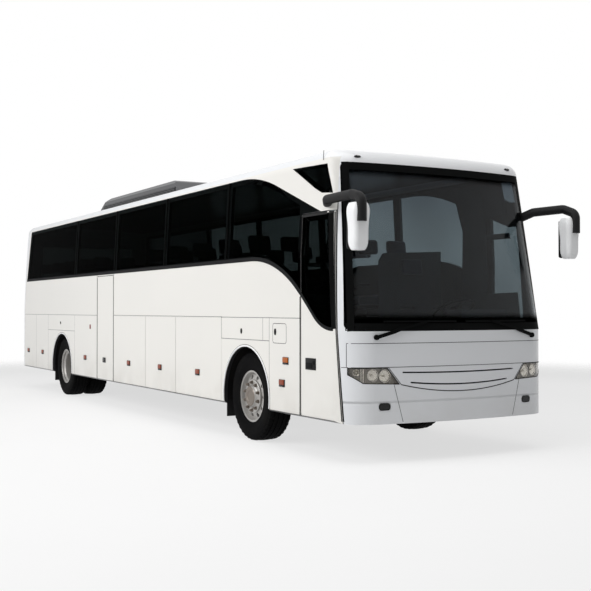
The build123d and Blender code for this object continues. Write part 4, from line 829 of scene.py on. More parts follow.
# %% [markdown]
# ## Ribbons
# Seals, joints and trims are long strips of one section. A curve with a bevel could make them, but it twists
# on a bowed surface. A ribbon here is one end face, extruded from place to place along a route, and turned
# at each place so that it faces away from the skin.

# %% Routes and ribbons
def evenly(start, end, count):
    """Numbers from start to end in equal steps."""
    return [start + (end - start) * step / count for step in range(count + 1)]


def between(start, end, count):
    """Places from one pair of numbers to another in equal steps."""
    return list(zip(evenly(start[0], end[0], count), evenly(start[1], end[1], count)))


def ribbon(bm, route, width, proud, sunk=0.004):
    """A strip along a route of (point, away) pairs: one end face, extruded from place to place."""
    spots = [spot for spot, away in route]
    face = None
    for index, (spot, away) in enumerate(route):
        along = spots[min(index + 1, len(spots) - 1)] - spots[max(index - 1, 0)]
        across = away.cross(along).normalized() * width / 2
        corners = (spot - across - away * sunk, spot + across - away * sunk, spot + across + away * proud,
                   spot - across + away * proud)
        if face is None:
            face = bm.faces.new([bm.verts.new(corner) for corner in corners])
            rim = list(face.edges)
            continue
        face = bmesh.ops.extrude_discrete_faces(bm, faces=[face])["faces"][0]
        for vert, corner in zip(face.verts, corners):
            vert.co = corner
    bmesh.ops.holes_fill(bm, edges=rim, sides=4)


print("a route of four steps has", len(between((0.0, 0.0), (1.0, 1.0), 4)), "places")

# %% [markdown]
# ## Window joints
# The flush side panes meet over narrow rubber joints, set two millimetres below the glass. Each is a
# short ribbon up the wall. The driver's side has one more, where the driver's window ends.

# %% Rubber between the panes
PANE_JOINTS = (2.79, 4.70, 6.67, LAST_PANE)
BAND_TOP_Z = 2.985
DOOR_REAR, DOOR_TOP_Z = 1.03, 2.47
DRIVER_WINDOW_JOINT = (DOOR_REAR, 1.72, 2.46)
JOINT_DEPTH, JOINT_WIDTH, JOINT_PROUD, JOINT_SUNK = 0.002, 0.012, 0.0008, 0.008

for side, word in SIDES:
    bm = bmesh.new()
    joints = [(station, SILL_Z, BAND_TOP_Z) for station in PANE_JOINTS]
    if side == DRIVER:
        joints.append(DRIVER_WINDOW_JOINT)
    for station, low, high in joints:
        route = [on_side(side, station, z, -JOINT_DEPTH) for z in sorted({low, SILL_Z, high})]
        ribbon(bm, route, JOINT_WIDTH, JOINT_PROUD, JOINT_SUNK)
    build(f"pane_joints_{word}", bm, "coach_body", "dark_trim", joint_black)

# %% [markdown]
# ## Sill trim
# Under the panes runs a dark moulding that starts level at the tail, sweeps down by the driver and ends
# in a hollow curve on the entrance door. Its route is a line and two arcs, worked out from their radii,
# and a ribbon follows it. The part on the door is a piece of its own, because it has to ride with the
# leaf.

# %% Moulding under the panes
SWEEP_RADIUS, SWEEP_TURN, COVE_RADIUS = 1.7, math.radians(40), 0.547
BAND_FOOT, BAND_LOW_Z, BAND_TAIL = 0.408, 1.28, 11.655
TRIM_HEIGHT, TRIM_PROUD = 0.046, 0.003
DOOR_TRIM_HEIGHT, DOOR_TRIM_INSET, DOOR_TRIM_Z = 0.034, 0.018, 1.632
TRIM_GAP = 0.012

sweep_sine, sweep_rise = math.sin(SWEEP_TURN), 1 - math.cos(SWEEP_TURN)
drop = (SILL_Z - BAND_LOW_Z - (SWEEP_RADIUS + COVE_RADIUS) * sweep_rise) / sweep_sine
sweep_start = BAND_FOOT + (COVE_RADIUS + SWEEP_RADIUS) * sweep_sine + drop * math.cos(SWEEP_TURN)


def sweep_places(inset, last_turn):
    """The level sill and the sweep down from it, moved up into the glass by an inset."""
    radius = SWEEP_RADIUS + inset
    level = [(station, SILL_Z + inset) for station in evenly(BAND_TAIL, sweep_start, 20)]
    return level + [(sweep_start - radius * math.sin(turn), SILL_Z - SWEEP_RADIUS + radius * math.cos(turn))
                    for turn in evenly(0.0, last_turn, 16)[1:]]


def cove_places(inset):
    """The curve that ends the sweep level at the foot of the driver's window."""
    radius = COVE_RADIUS - inset
    return [(BAND_FOOT + radius * math.sin(turn), BAND_LOW_Z + COVE_RADIUS - radius * math.cos(turn))
            for turn in evenly(SWEEP_TURN, 0.0, 12)]


to_door = math.asin((sweep_start - DOOR_REAR - TRIM_GAP) / SWEEP_RADIUS)
wall_routes = {KERB: sweep_places(TRIM_HEIGHT / 2, to_door),
               DRIVER: sweep_places(TRIM_HEIGHT / 2, SWEEP_TURN) + cove_places(TRIM_HEIGHT / 2)}
for side, word in SIDES:
    bm = bmesh.new()
    ribbon(bm, [on_side(side, *spot) for spot in wall_routes[side]], TRIM_HEIGHT, TRIM_PROUD)
    build(f"sill_trim_{word}", bm, "coach_body", "dark_trim", trim_grey)

bm = bmesh.new()
door_route = [(DOOR_REAR - 0.014, DOOR_TRIM_Z + TRIM_HEIGHT / 2)] + cove_places(DOOR_TRIM_INSET)
ribbon(bm, [on_side(KERB, *spot) for spot in door_route], DOOR_TRIM_HEIGHT, TRIM_PROUD)
build("door_trim", bm, "front_door_leaf", "dark_trim", trim_grey)

# %% [markdown]
# ## Entrance door seals
# The door closes on a black rubber section. From outside it shows as a thick dark line round the leaf,
# so strips of rubber edge the leaf and its doorway, and the running gap between them stays open. Above
# the sweep, the door's frame is printed black like its glass. What is on the leaf rides with the leaf.

# %% Entrance door seals
LEAF_GAP, DOOR_FOOT = 0.010, 0.41
LEAF_SEAL, LEAF_SEAL_PROUD, HEAD_SEAL = 0.011, 0.002, 0.026
SEAL_INSET = 0.006
FRAME_WIDTH, FRAME_INSET, FRAME_PROUD = 0.062, 0.012, 0.001

bm = bmesh.new()
rear_edge, leaf_top = DOOR_REAR - LEAF_GAP - SEAL_INSET, DOOR_TOP_Z - 0.02
routes = [([(rear_edge, z) for z in evenly(DOOR_FOOT, SILL_Z, 6) + [leaf_top]], LEAF_SEAL),
          ([(seam_station(z) + LEAF_GAP + SEAL_INSET, z) for z in evenly(DOOR_FOOT, leaf_top, 24)],
           LEAF_SEAL),
          ([(station, leaf_top - 0.003) for station in evenly(0.45, rear_edge, 12)], HEAD_SEAL)]
for route, width in routes:
    ribbon(bm, [on_side(KERB, *spot) for spot in route], width, LEAF_SEAL_PROUD)
build("entrance_leaf_seal", bm, "front_door_leaf", "dark_trim", seal_rubber)

bm = bmesh.new()
frame_middle = LEAF_GAP + FRAME_INSET + FRAME_WIDTH / 2
frame_route = [on_side(KERB, seam_station(z) + frame_middle, z) for z in evenly(1.30, 2.44, 12)]
ribbon(bm, frame_route, FRAME_WIDTH, FRAME_PROUD)
build("door_frame_print", bm, "front_door_leaf", "dark_trim", joint_black)

# %% [markdown]
# ## Doorways and the middle door
# The wall's side of each doorway carries a slimmer rubber line, and so does the seam where the roof cap
# meets the roof. The middle door has a rubber down each edge of its leaf and a pressed lip along its
# head. They are upright or level ribbons again, sorted by the body that carries them.

# %% Doorway seals
MIDDLE_DOOR = (6.69, 7.46)
CAP_SEAM = 0.65
WALL_SEAL, MIDDLE_SEAL, WALL_SEAL_PROUD = 0.009, 0.007, 0.001
CAP_LINE, CAP_LINE_PROUD = 0.004, 0.0008
MIDDLE_LEAF_SEAL, MIDDLE_LEAF_PROUD = 0.009, 0.0015
LIP_Z, LIP_HEIGHT, LIP_PROUD, LIP_SUNK = 1.994, 0.022, 0.0025, -0.0006

bm = bmesh.new()
rear_route = [on_side(KERB, DOOR_REAR + 0.005, z) for z in evenly(DOOR_FOOT, 1.62, 6)]
ribbon(bm, rear_route, WALL_SEAL, WALL_SEAL_PROUD)
front_route = [on_side(KERB, seam_station(z) - 0.005, z) for z in evenly(DOOR_FOOT, 2.60, 24)]
ribbon(bm, front_route, WALL_SEAL, WALL_SEAL_PROUD)
for station in (MIDDLE_DOOR[0] - 0.004, MIDDLE_DOOR[1] + 0.004):
    route = [on_side(KERB, station, z) for z in evenly(DOOR_FOOT, SILL_Z - 0.001, 6)]
    ribbon(bm, route, MIDDLE_SEAL, WALL_SEAL_PROUD)
for side, word in SIDES:
    route = [on_side(side, CAP_SEAM, z) for z in evenly(BAND_TOP_Z, EAVE_Z - 0.004, 4)]
    ribbon(bm, route, CAP_LINE, CAP_LINE_PROUD)
build("doorway_seals", bm, "coach_body", "dark_trim", seal_rubber)

bm = bmesh.new()
for station in (MIDDLE_DOOR[0] + LEAF_GAP + 0.005, MIDDLE_DOOR[1] - LEAF_GAP - 0.005):
    route = [on_side(KERB, station, z) for z in evenly(DOOR_FOOT, LIP_Z - 0.004, 6)]
    ribbon(bm, route, MIDDLE_LEAF_SEAL, MIDDLE_LEAF_PROUD)
build("middle_leaf_seal", bm, "middle_door_leaf", "dark_trim", seal_rubber)

bm = bmesh.new()
lip = evenly(MIDDLE_DOOR[0] + 0.022, MIDDLE_DOOR[1] - 0.022, 6)
ribbon(bm, [on_side(KERB, station, LIP_Z) for station in lip], LIP_HEIGHT, LIP_PROUD, LIP_SUNK)
build("middle_door_lip", bm, "middle_door_leaf", "body_paint", side_white)

# %% [markdown]
# ## Seams on the front
# The lower front is made of a lift-up flap, two lamps, a grille and a bumper in three parts. Fine dark
# ribbons mark where they meet. The grille's lower edge is a wide smile: an arc through its two ends and
# its lowest point.

# %% Front seams
FLAP_HALF, FLAP_LOW_Z, FLAP_TOP_Z = 1.226, 0.932, 1.163
GRILLE_TOP, GRILLE_LOW, GRILLE_DIP_Z = (0.855, 0.93), (0.715, 0.762), 0.68
BUMPER_SEAM_TOP, BUMPER_SEAM_FOOT = (0.795, 0.768), (0.695, 0.40)
FRONT_SEAM, FRONT_SEAM_PROUD, CORNER_SEAM_X = 0.005, 0.0012, 1.252
SMILE_WIDTH, SMILE_PROUD = 0.009, 0.0015

smile_rise = GRILLE_LOW[1] - GRILLE_DIP_Z
smile_radius = (GRILLE_LOW[0] ** 2 + smile_rise**2) / (2 * smile_rise)


def across_front(bm, start, end, count, width=FRONT_SEAM):
    """A seam between two places (across, height) on the front."""
    ribbon(bm, [on_front(*spot) for spot in between(start, end, count)], width, FRONT_SEAM_PROUD)


bm = bmesh.new()
for z in (FLAP_TOP_Z, FLAP_LOW_Z):
    across_front(bm, (-FLAP_HALF, z), (FLAP_HALF, z), 60)
for side, word in SIDES:
    corner = (side * FLAP_HALF, FLAP_LOW_Z)
    across_front(bm, corner, (side * FLAP_HALF, FLAP_TOP_Z), 4)
    across_front(bm, corner, (side * CORNER_SEAM_X, FLAP_LOW_Z), 3)
    for (x, z), (end_x, end_z), count, width in ((GRILLE_LOW, GRILLE_TOP, 6, 0.006),
                                                 (BUMPER_SEAM_TOP, BUMPER_SEAM_FOOT, 8, 0.004)):
        across_front(bm, (side * x, z), (side * end_x, end_z), count, width)
smile = [(x, GRILLE_DIP_Z + smile_radius - math.sqrt(smile_radius**2 - x**2))
         for x in evenly(-GRILLE_LOW[0], GRILLE_LOW[0], 40)]
ribbon(bm, [on_front(*spot) for spot in smile], SMILE_WIDTH, SMILE_PROUD)
build("front_seams", bm, "coach_body", "dark_trim", seal_rubber)

# %% [markdown]
# ## Edge print of the windscreen
# The windscreen is glued in, and a band of black enamel baked onto its edge keeps daylight off the
# glue. The mask on the glass fades out softly; the solid band along the edge is four ribbons no thicker
# than a coat of paint, which also cover the ledge that the glass rests on.

# %% Windscreen print
PRINT_WIDTH, PRINT_PROUD, PRINT_SUNK = 0.074, 0.0012, 0.002
PRINT_LAP = 0.03

inset = PRINT_WIDTH / 2 + 0.004
low_x, low_z = SCREEN_LOW[0] - inset, SCREEN_LOW[1] + inset
high_x, high_z = SCREEN_HIGH[0] - inset, SCREEN_HIGH[1] - inset
routes = [between((side * low_x, low_z - inset), (side * high_x, high_z + inset), 16) for side, word in SIDES]
routes += [[(x, z) for x in evenly(-half - PRINT_LAP, half + PRINT_LAP, 60)]
           for half, z in ((low_x, low_z), (high_x, high_z))]
bm = bmesh.new()
for route in routes:
    ribbon(bm, [on_front(*spot) for spot in route], PRINT_WIDTH, PRINT_PROUD, PRINT_SUNK)
build("screen_print", bm, "coach_body", "dark_trim", joint_black)

# %% [markdown]
# ## Sheets on the front
# Lamps are cut to an outline and follow the curve of the front. A flat face bent by its corners alone
# would cut the corner off, so the sheet is one face, sliced into narrow strips, and each of its points
# is then laid on the skin. It can be thickened afterwards.

# %% Sheets on the front
SLICE = 0.03


def front_sheet(bm, outline, side, out, thick=0.0):
    """A sheet cut to an outline of (across, height), bent onto the front; returns its faces."""
    before = set(bm.verts)
    face = bm.faces.new([bm.verts.new((side * x, 0.0, z)) for x, z in outline])
    parts = [face, *face.edges, *face.verts]
    across = min(x for x, z in outline) + SLICE
    while across < max(x for x, z in outline):
        cut = bmesh.ops.bisect_plane(bm, geom=parts, plane_co=(side * across, 0, 0), plane_no=(1, 0, 0))
        parts = cut["geom"]
        across += SLICE
    for vert in set(bm.verts) - before:
        vert.co = on_front(vert.co.x, vert.co.z, out)[0]
    faces = [part for part in parts if isinstance(part, bmesh.types.BMFace)]
    if thick:
        grow(bm, faces, (0, thick, 0))
    return faces


def rounded_outline(x, z, width, height, radius):
    """A rectangle with round corners as a list of places."""
    places = []
    for turn, (right, up) in enumerate(((1, 1), (-1, 1), (-1, -1), (1, -1))):
        for angle in evenly(turn * math.pi / 2, (turn + 1) * math.pi / 2, 4):
            places.append((x + right * (width / 2 - radius) + radius * math.cos(angle),
                           z + up * (height / 2 - radius) + radius * math.sin(angle)))
    return places


print("strips across a sheet are", SLICE, "m wide")

# %% [markdown]
# ## Headlamps
# A headlamp is a clear cover flush with the body over a shaped box. In the box lie two round reflectors
# with their bulbs, a small corner lamp and two bright dividers. The box is a sheet whose rim is
# extruded forwards, the bowls are turned, and the cover is the same sheet on the skin, thickened
# inwards.

# %% Headlamps
LAMP_OUTLINE = [(0.869, 0.927), (1.219, 0.927), (1.219, 0.861), (1.109, 0.781), (0.736, 0.767)]
BULBS = [(0.890, 0.848, 0.062), (1.018, 0.857, 0.058), (1.165, 0.884, 0.032)]
DIVIDERS = [(1.108, 0.790, 0.922), (1.126, 0.800, 0.922)]
BOX_DEPTH, BOX_WALL, BOWL_DEPTH = 0.036, 0.030, 0.014
DIVIDER_DEPTH, DIVIDER_SIZES = 0.012, (0.010, 0.002, 0.02)
COVER_THICK, LAMP_SEAL, LAMP_SEAL_PROUD = 0.003, 0.008, 0.0012


def bowl_outline(radius):
    """Rim, bowl and bulb of one reflector."""
    return [(0.002, radius), (0.0, radius - 0.004), (-0.010, radius * 0.86), (-0.019, radius * 0.55),
            (-0.021, 0.011), (-0.008, 0.010), (-0.002, 0.006), (0.0, 0.0)]


boxes, bowls, covers, seals = bmesh.new(), bmesh.new(), bmesh.new(), bmesh.new()
for side, word in SIDES:
    faces = front_sheet(boxes, LAMP_OUTLINE, side, -BOX_DEPTH)
    rim = list({edge for face in faces for edge in face.edges if edge.is_boundary})
    grown = bmesh.ops.extrude_edge_only(boxes, edges=rim)["geom"]
    for vert in (part for part in grown if isinstance(part, bmesh.types.BMVert)):
        vert.co += on_front(vert.co.x, vert.co.z)[1] * BOX_WALL
    for x, z, radius in BULBS:
        lathe(bowls, bowl_outline(radius), *on_front(side * x, z, -BOWL_DEPTH), 32)
    for x, low, high in DIVIDERS:
        ribbon(bowls, [on_front(side * x, z, -DIVIDER_DEPTH) for z in (low, high)], *DIVIDER_SIZES)
    front_sheet(covers, LAMP_OUTLINE, side, 0.0, COVER_THICK)
    for start, end in zip(LAMP_OUTLINE, LAMP_OUTLINE[1:] + LAMP_OUTLINE[:1]):
        route = [on_front(side * x, z) for x, z in between(start, end, 10)]
        ribbon(seals, route, LAMP_SEAL, LAMP_SEAL_PROUD)
lamp_boxes = build("headlamp_boxes", boxes, "coach_body", "clear_lamp", lamp_shade)
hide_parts("headlamps")
build("headlamp_bowls", bowls, "coach_body", "clear_lamp", lamp_silver_painted_reflections)
build("headlamp_covers", covers, "coach_body", "clear_lamp", lamp_cover)
build("headlamp_seals", seals, "coach_body", "dark_trim", seal_rubber)

# %% [markdown]
# ## Fog lamps
# Each fog lamp is a small dark lens with round corners in the bumper, held by a black bezel. The same
# outline, in two sizes, makes the painted surround, the lens and the bezel.

# %% Fog lamps
FOG_X, FOG_Z = 0.896, 0.553
SURROUND = rounded_outline(FOG_X, FOG_Z, 0.128, 0.070, 0.022)
LENS = rounded_outline(FOG_X, FOG_Z, 0.116, 0.062, 0.026)

surrounds, lenses, bezels = bmesh.new(), bmesh.new(), bmesh.new()
for side, word in SIDES:
    front_sheet(surrounds, SURROUND, side, -0.001, 0.008)
    front_sheet(lenses, LENS, side, 0.002, 0.006)
    ribbon(bezels, [on_front(side * x, z) for x, z in LENS + LENS[:1]], 0.008, 0.004)
fog_surrounds = build("fog_surrounds", surrounds, "coach_body", "body_paint", bumper_shade_white)
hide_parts("fog_lamps")
build("fog_lenses", lenses, "coach_body", "clear_lamp", smoked_lens)
build("fog_bezels", bezels, "coach_body", "dark_trim", dark_plastic)

# %% [markdown]
# ## Wipers
# Two wipers are parked over the black foot of the windscreen. Each has a stout root on its pivot, a
# slimmer arm and a level blade. They are ribbons held at a small distance from the glass, so that they
# follow its bow.

# %% Wipers
WIPER_PIVOT, WIPER_KNEE, WIPER_TIP = (0.985, 1.222), (0.70, 1.302), (0.40, 1.372)
BLADE_OUTER, BLADE_INNER = (0.90, 1.372), (0.06, 1.372)
WIPER_PARTS = [(WIPER_PIVOT, WIPER_KNEE, 6, 0.020, 0.034, 0.007),
               (WIPER_KNEE, WIPER_TIP, 6, 0.020, 0.020, 0.007),
               (BLADE_OUTER, BLADE_INNER, 16, 0.008, 0.016, 0.006)]

bm = bmesh.new()
for side, word in SIDES:
    for start, end, count, out, width, proud in WIPER_PARTS:
        ribbon(bm, [on_front(side * x, z, out) for x, z in between(start, end, count)], width, proud, 0.006)
    spot, away = on_front(side * WIPER_PIVOT[0], WIPER_PIVOT[1], 0.008)
    drum(bm, spot, away, 0.026, 0.038, 24, 0.004)
wiper_set = build("wiper_set", bm, "coach_body", "dark_trim", joint_black)
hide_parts("wipers")

# %% [markdown]
# ## Wheel arch lips
# The edge of each wheel arch is rolled outwards into a narrow lip, in a brighter white as painted light
# where it catches the lamps, with a fine dark line where it leaves the panel, painted shadow under the
# lip. Both are ribbons round an arc about the axle, a little past the half circle.

# %% Wheel arch lips
ARCH_RADIUS = 0.565
ARCH_TURNS = evenly(math.radians(-9), math.radians(189), 48)

lips, edges = bmesh.new(), bmesh.new()
# The first ribbons are the lips, in the brighter white of painted light; the second, dark ones are painted
# shadow where a lip leaves the panel.
for bm, step, width, proud in ((lips, 0.009, 0.016, 0.005), (edges, 0.024, 0.004, 0.0008)):
    radius = ARCH_RADIUS + step
    for side, word in SIDES:
        for axle in (FRONT_AXLE, REAR_AXLE):
            places = [(axle + radius * math.cos(turn), AXLE_Z + radius * math.sin(turn))
                      for turn in ARCH_TURNS]
            ribbon(bm, [on_side(side, *spot) for spot in places], width, proud)
build("arch_lips", lips, "coach_body", "body_paint", cap_lit_white)
build("arch_shadow_lines", edges, "coach_body", "dark_trim", trim_grey)

# %% [markdown]
# ## Side markers
# Small amber lamps mark the length of the coach. Each is a dark base with a rounded lens on it and a
# darker foot: three rounded blocks of different height. The ones on the luggage flaps and on the middle
# door ride on them.

# %% Side markers
MARKER_Z = 0.71
WALL_MARKERS = [(1.41, MARKER_Z, 1), (8.05, MARKER_Z, 1), (10.55, MARKER_Z, 1), (11.52, MARKER_Z, 1),
                (1.33, 0.95, 3)]
DOOR_MARKER = 7.11
FLAP_ENDS = (2.89, 4.29, 5.37, 6.69)
MARKER_FINISHES = (dark_plastic, amber_lens, smoked_lens, orange_lens)


def side_slab(bm, side, station, z, along, tall, proud, rounding, sunk=0.003):
    """A rounded plate on the side wall; returns its vertices."""
    xs = sorted((side * (HALF_WIDTH - sunk), side * (HALF_WIDTH + proud)))
    return block(bm, (xs[0], at(station - along / 2), z - tall / 2),
                 (xs[1], at(station + along / 2), z + tall / 2), rounding)


def marker(bm, side, station, z, lens=1):
    """One lamp: base, lens and dark foot, standing on the side wall."""
    for middle, along, tall, proud, rounding, index in ((-0.001, 0.120, 0.078, 0.0080, 0.003, 0),
                                                        (0.008, 0.110, 0.054, 0.0135, 0.004, lens),
                                                        (-0.029, 0.110, 0.016, 0.0125, 0.003, 2)):
        shade(bm, side_slab(bm, side, station, z + middle, along, tall, proud, rounding, 0.004), index)


bm = bmesh.new()
for side, word in SIDES:
    for station, z, lens in WALL_MARKERS:
        marker(bm, side, station, z, lens)
wall_markers = build("wall_markers", bm, "coach_body", "amber_lamp", *MARKER_FINISHES)
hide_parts("marker_lamps")
for side, word in SIDES:
    for number, (start, end) in enumerate(zip(FLAP_ENDS, FLAP_ENDS[1:]), 1):
        bm = bmesh.new()
        marker(bm, side, (start + end) / 2, MARKER_Z)
        flap = f"luggage_flap_{word}_{number}"
        build(f"flap_marker_{word}_{number}", bm, flap, "amber_lamp", *MARKER_FINISHES[:3])
bm = bmesh.new()
marker(bm, KERB, DOOR_MARKER, MARKER_Z, 2)
build("door_marker", bm, "middle_door_leaf", "dark_trim", *MARKER_FINISHES[:3])

# %% [markdown]
# ## Clearance lamps on the roof
# Two flat lamps sit on the brow over the windscreen. A ball squashed to a lens and tilted to the brow's
# slope is enough for the dark body, and a smaller one on it makes the clear eye.

# %% Clearance lamps
BROW_LAMP = (0.966, 0.424, 3.008)
BROW_TILT = math.radians(-35)

bm = bmesh.new()
for side, word in SIDES:
    x, station, z = BROW_LAMP
    for index, (width, depth, height) in enumerate(((0.040, 0.018, 0.015), (0.022, 0.023, 0.008))):
        made = bmesh.ops.create_uvsphere(bm, u_segments=24, v_segments=12, radius=1.0)["verts"]
        bmesh.ops.scale(bm, vec=(width, depth, height), verts=made)
        bmesh.ops.rotate(bm, cent=(0, 0, 0), matrix=Matrix.Rotation(BROW_TILT, 3, "X"), verts=made)
        bmesh.ops.translate(bm, vec=(side * x, at(station), z), verts=made)
        shade(bm, made, index)
build("roof_markers", bm, "coach_body", "dark_trim", smoked_lens, clear_ribs)

# %% [markdown]
# ## Handles and locks
# The entrance door opens with a handle in a black plate. Small flaps over the wheels have oval locks, a flap
# on each side covers a filler, and a red button by the middle door opens it from outside. They are rounded
# slabs, short drums and thin lines that stand a few millimetres proud of the wall.

# %% Handles and locks
HANDLE = [(0.81, 0.94, 0.200, 0.118, 0.008, 0.003, 0), (0.83, 0.925, 0.120, 0.060, 0.013, 0.005, 1),
          (0.745, 0.955, 0.040, 0.040, 0.016, 0.006, 1)]
LOCKS = [(2.37, 1.245, 0.022), (1.56, 1.25, 0.026), (9.42, 1.26, 0.016)]
OUTSIDE_BUTTON = (7.80, 1.215, 0.050, 0.070, 0.006, 0.004)
FILLER = rounded_outline(1.47, 1.235, 0.30, 0.21, 0.03)

bm = bmesh.new()
for station, z, along, tall, proud, rounding, index in HANDLE:
    shade(bm, side_slab(bm, KERB, station, z, along, tall, proud, rounding), index)
build("door_handle", bm, "front_door_leaf", "dark_trim", dark_plastic, trim_grey)

bm = bmesh.new()
for side, word in SIDES:
    for station, z, radius in LOCKS:
        spot = Vector((side * (HALF_WIDTH + 0.003), at(station), z))
        made = drum(bm, spot, (side, 0, 0), radius, 0.012, 20, 0.002)
        bmesh.ops.scale(bm, vec=(1, 0.75, 1.35), space=Matrix.Translation(-spot), verts=made)
        shade(bm, made, 0)
    ribbon(bm, [on_side(side, *spot) for spot in FILLER + FILLER[:1]], 0.005, 0.0008)
shade(bm, side_slab(bm, KERB, *OUTSIDE_BUTTON), 1)
build("side_locks", bm, "coach_body", "dark_trim", dark_plastic, red_lens)

# %% [markdown]
# ## Mirror frames and glass
# The mirrors hang ahead of the coach and face backwards. Behind each white shell lies a black frame
# with silvered glass in it, both rounded blocks.

# %% Mirror frames and glass
MIRRORS = ((KERB, -0.265), (DRIVER, -0.06))
MIRROR_X = 1.41
MIRROR_BACK, MIRROR_PANE = (0.076, 0.046, 0.094, 2.040, 2.440), (0.062, 0.090, 0.0965, 2.075, 2.415)


def mirror_block(bm, side, station, sizes, rounding, steps):
    """A rounded block in a shell, sized by its half width, front and rear, low and high edge."""
    half, front, rear, low, high = sizes
    x = side * MIRROR_X
    block(bm, (x - half, at(station + front), low), (x + half, at(station + rear), high), rounding, steps)


backs, panes = bmesh.new(), bmesh.new()
for side, station in MIRRORS:
    mirror_block(backs, side, station, MIRROR_BACK, 0.022, 3)
    mirror_block(panes, side, station, MIRROR_PANE, 0.003, 2)
build("mirror_backs", backs, "coach_body", "dark_trim", dark_plastic)
build("mirror_panes", panes, "coach_body", "mirror_shell", mirror_silver)

# %% [markdown]
# ## Roof unit
# The sides of the roof unit are louvred: a dark band with slats along it, the band painted shade for the
# hollow behind the slats. Two fans lie under round guards on top, each a turned ring with twelve spokes.
# Slats and spokes are straight ribbons, made by a loop.

# %% Louvres and fan guards
UNIT_HALF, UNIT_TOP_Z = 0.86, 3.34
RECESS, SLATS = (5.28, 8.36), (5.30, 8.34)
RECESS_Z, FIRST_SLAT_Z, SLAT_PITCH, SLAT_COUNT = 3.178, 3.136, 0.021, 5
FANS, SPOKE_COUNT = (6.1, 7.5), 12

bm, slats = bmesh.new(), bmesh.new()
for side, word in SIDES:
    away = Vector((side, 0, 0))
    recess = [(Vector((side * UNIT_HALF, at(station), RECESS_Z)), away) for station in RECESS]
    # A dark band along the side: painted shade for the hollow behind the slats.
    ribbon(bm, recess, 0.105, 0.002)
    for number in range(SLAT_COUNT):
        z = FIRST_SLAT_Z + SLAT_PITCH * number
        ribbon(slats, [(Vector((side * UNIT_HALF, at(station), z)), away) for station in SLATS], 0.008, 0.009)
up = Vector((0, 0, 1))
for station in FANS:
    spot = Vector((0, at(station), UNIT_TOP_Z))
    lathe(slats, [(0.0, 0.36), (0.012, 0.355), (0.012, 0.33), (0.0, 0.325)], spot, up, 48)
    lathe(bm, [(0.002, 0.33), (0.002, 0.10), (0.010, 0.09), (0.010, 0.0)], spot, up, 40)
    for number in range(SPOKE_COUNT):
        turn = 2 * math.pi * number / SPOKE_COUNT
        out = Vector((math.cos(turn), math.sin(turn), 0))
        ribbon(slats, [(spot + out * reach, up) for reach in (0.08, 0.34)], 0.008, 0.010, 0.0)
build("unit_recess_shade_and_fans", bm, "coach_body", "roof_unit", dark_plastic)
build("unit_slats", slats, "coach_body", "roof_unit", unit_grey)

# %% [markdown]
# ## One stuffed pad
# A coach seat is foam under a cloth cover that is drawn in along sewn channels. A cloth simulation
# could swell each pad, but dozens of small pads behind tinted glass don't repay its time. So a pad is a
# finely divided block whose points are rounded at the edges, crowned in the middle and sunk along the
# seams.

# %% One stuffed pad
PAD_CUTS = 9


def pad(bm, low, high, rounding, bulge, channels):
    """A stuffed block: rounded, crowned along its thinnest direction, drawn in along its channels."""
    low, high = Vector(low), Vector(high)
    middle, half = (low + high) / 2, (high - low) / 2
    before = set(bm.verts)
    corners = bmesh.ops.create_cube(bm, size=2.0)["verts"]
    edges = list({edge for vert in corners for edge in vert.link_edges})
    bmesh.ops.subdivide_edges(bm, edges=edges, cuts=PAD_CUTS, use_grid_fill=True)
    thin = min(range(3), key=lambda axis: half[axis])
    long = next(axis for axis in (2, 1) if axis != thin)
    for vert in (vert for vert in bm.verts if vert not in before):
        share = vert.co.copy()
        spot = Vector(share[axis] * half[axis] for axis in range(3))
        core = Vector(max(rounding - half[axis], min(half[axis] - rounding, spot[axis])) for axis in range(3))
        seam = abs(math.sin(math.pi * channels * (share.x + 1) / 2)) ** 0.4
        crown = (1 - share.x**2) * (1 - share[long] ** 2)
        spot = core + (spot - core).normalized() * rounding
        spot[thin] += bulge * crown * (0.25 + 0.75 * seam) * math.copysign(1.0, share[thin])
        vert.co = middle + spot


print("pad faces", 6 * (PAD_CUTS + 1) ** 2)

# %% [markdown]
# ## One place
# A place is a cushion, a back that leans and a head pad. It is modelled once, at the origin, as two
# meshes that every row copies. Under a pair of places stands a frame with a pedestal, a rail and arm
# rests.

# %% One place
PLACE_HALF, HEAD_HALF, ARM_HALF = 0.21, 0.14, 0.012
BACK_LEAN, LEAN_PIVOT = math.radians(-9.5), (0, 0.45, 0.42)

cushion_mesh, back_mesh = bpy.data.meshes.new("one_cushion"), bpy.data.meshes.new("one_back")
bm = bmesh.new()
pad(bm, (-PLACE_HALF, 0.0, 0.345), (PLACE_HALF, 0.47, 0.455), 0.04, 0.018, 4)
bm.to_mesh(cushion_mesh)
bm.free()
bm = bmesh.new()
pad(bm, (-PLACE_HALF, 0.40, 0.42), (PLACE_HALF, 0.50, 1.0), 0.04, 0.014, 4)
pad(bm, (-HEAD_HALF, 0.405, 0.985), (HEAD_HALF, 0.485, 1.165), 0.035, 0.010, 1)
bmesh.ops.rotate(bm, cent=LEAN_PIVOT, matrix=Matrix.Rotation(BACK_LEAN, 3, "X"), verts=bm.verts)
bm.to_mesh(back_mesh)
bm.free()


def copy_in(bm, mesh, spot):
    """Add a copy of a mesh to a bmesh, moved to a spot."""
    before = set(bm.verts)
    bm.from_mesh(mesh)
    bmesh.ops.translate(bm, vec=spot, verts=[vert for vert in bm.verts if vert not in before])


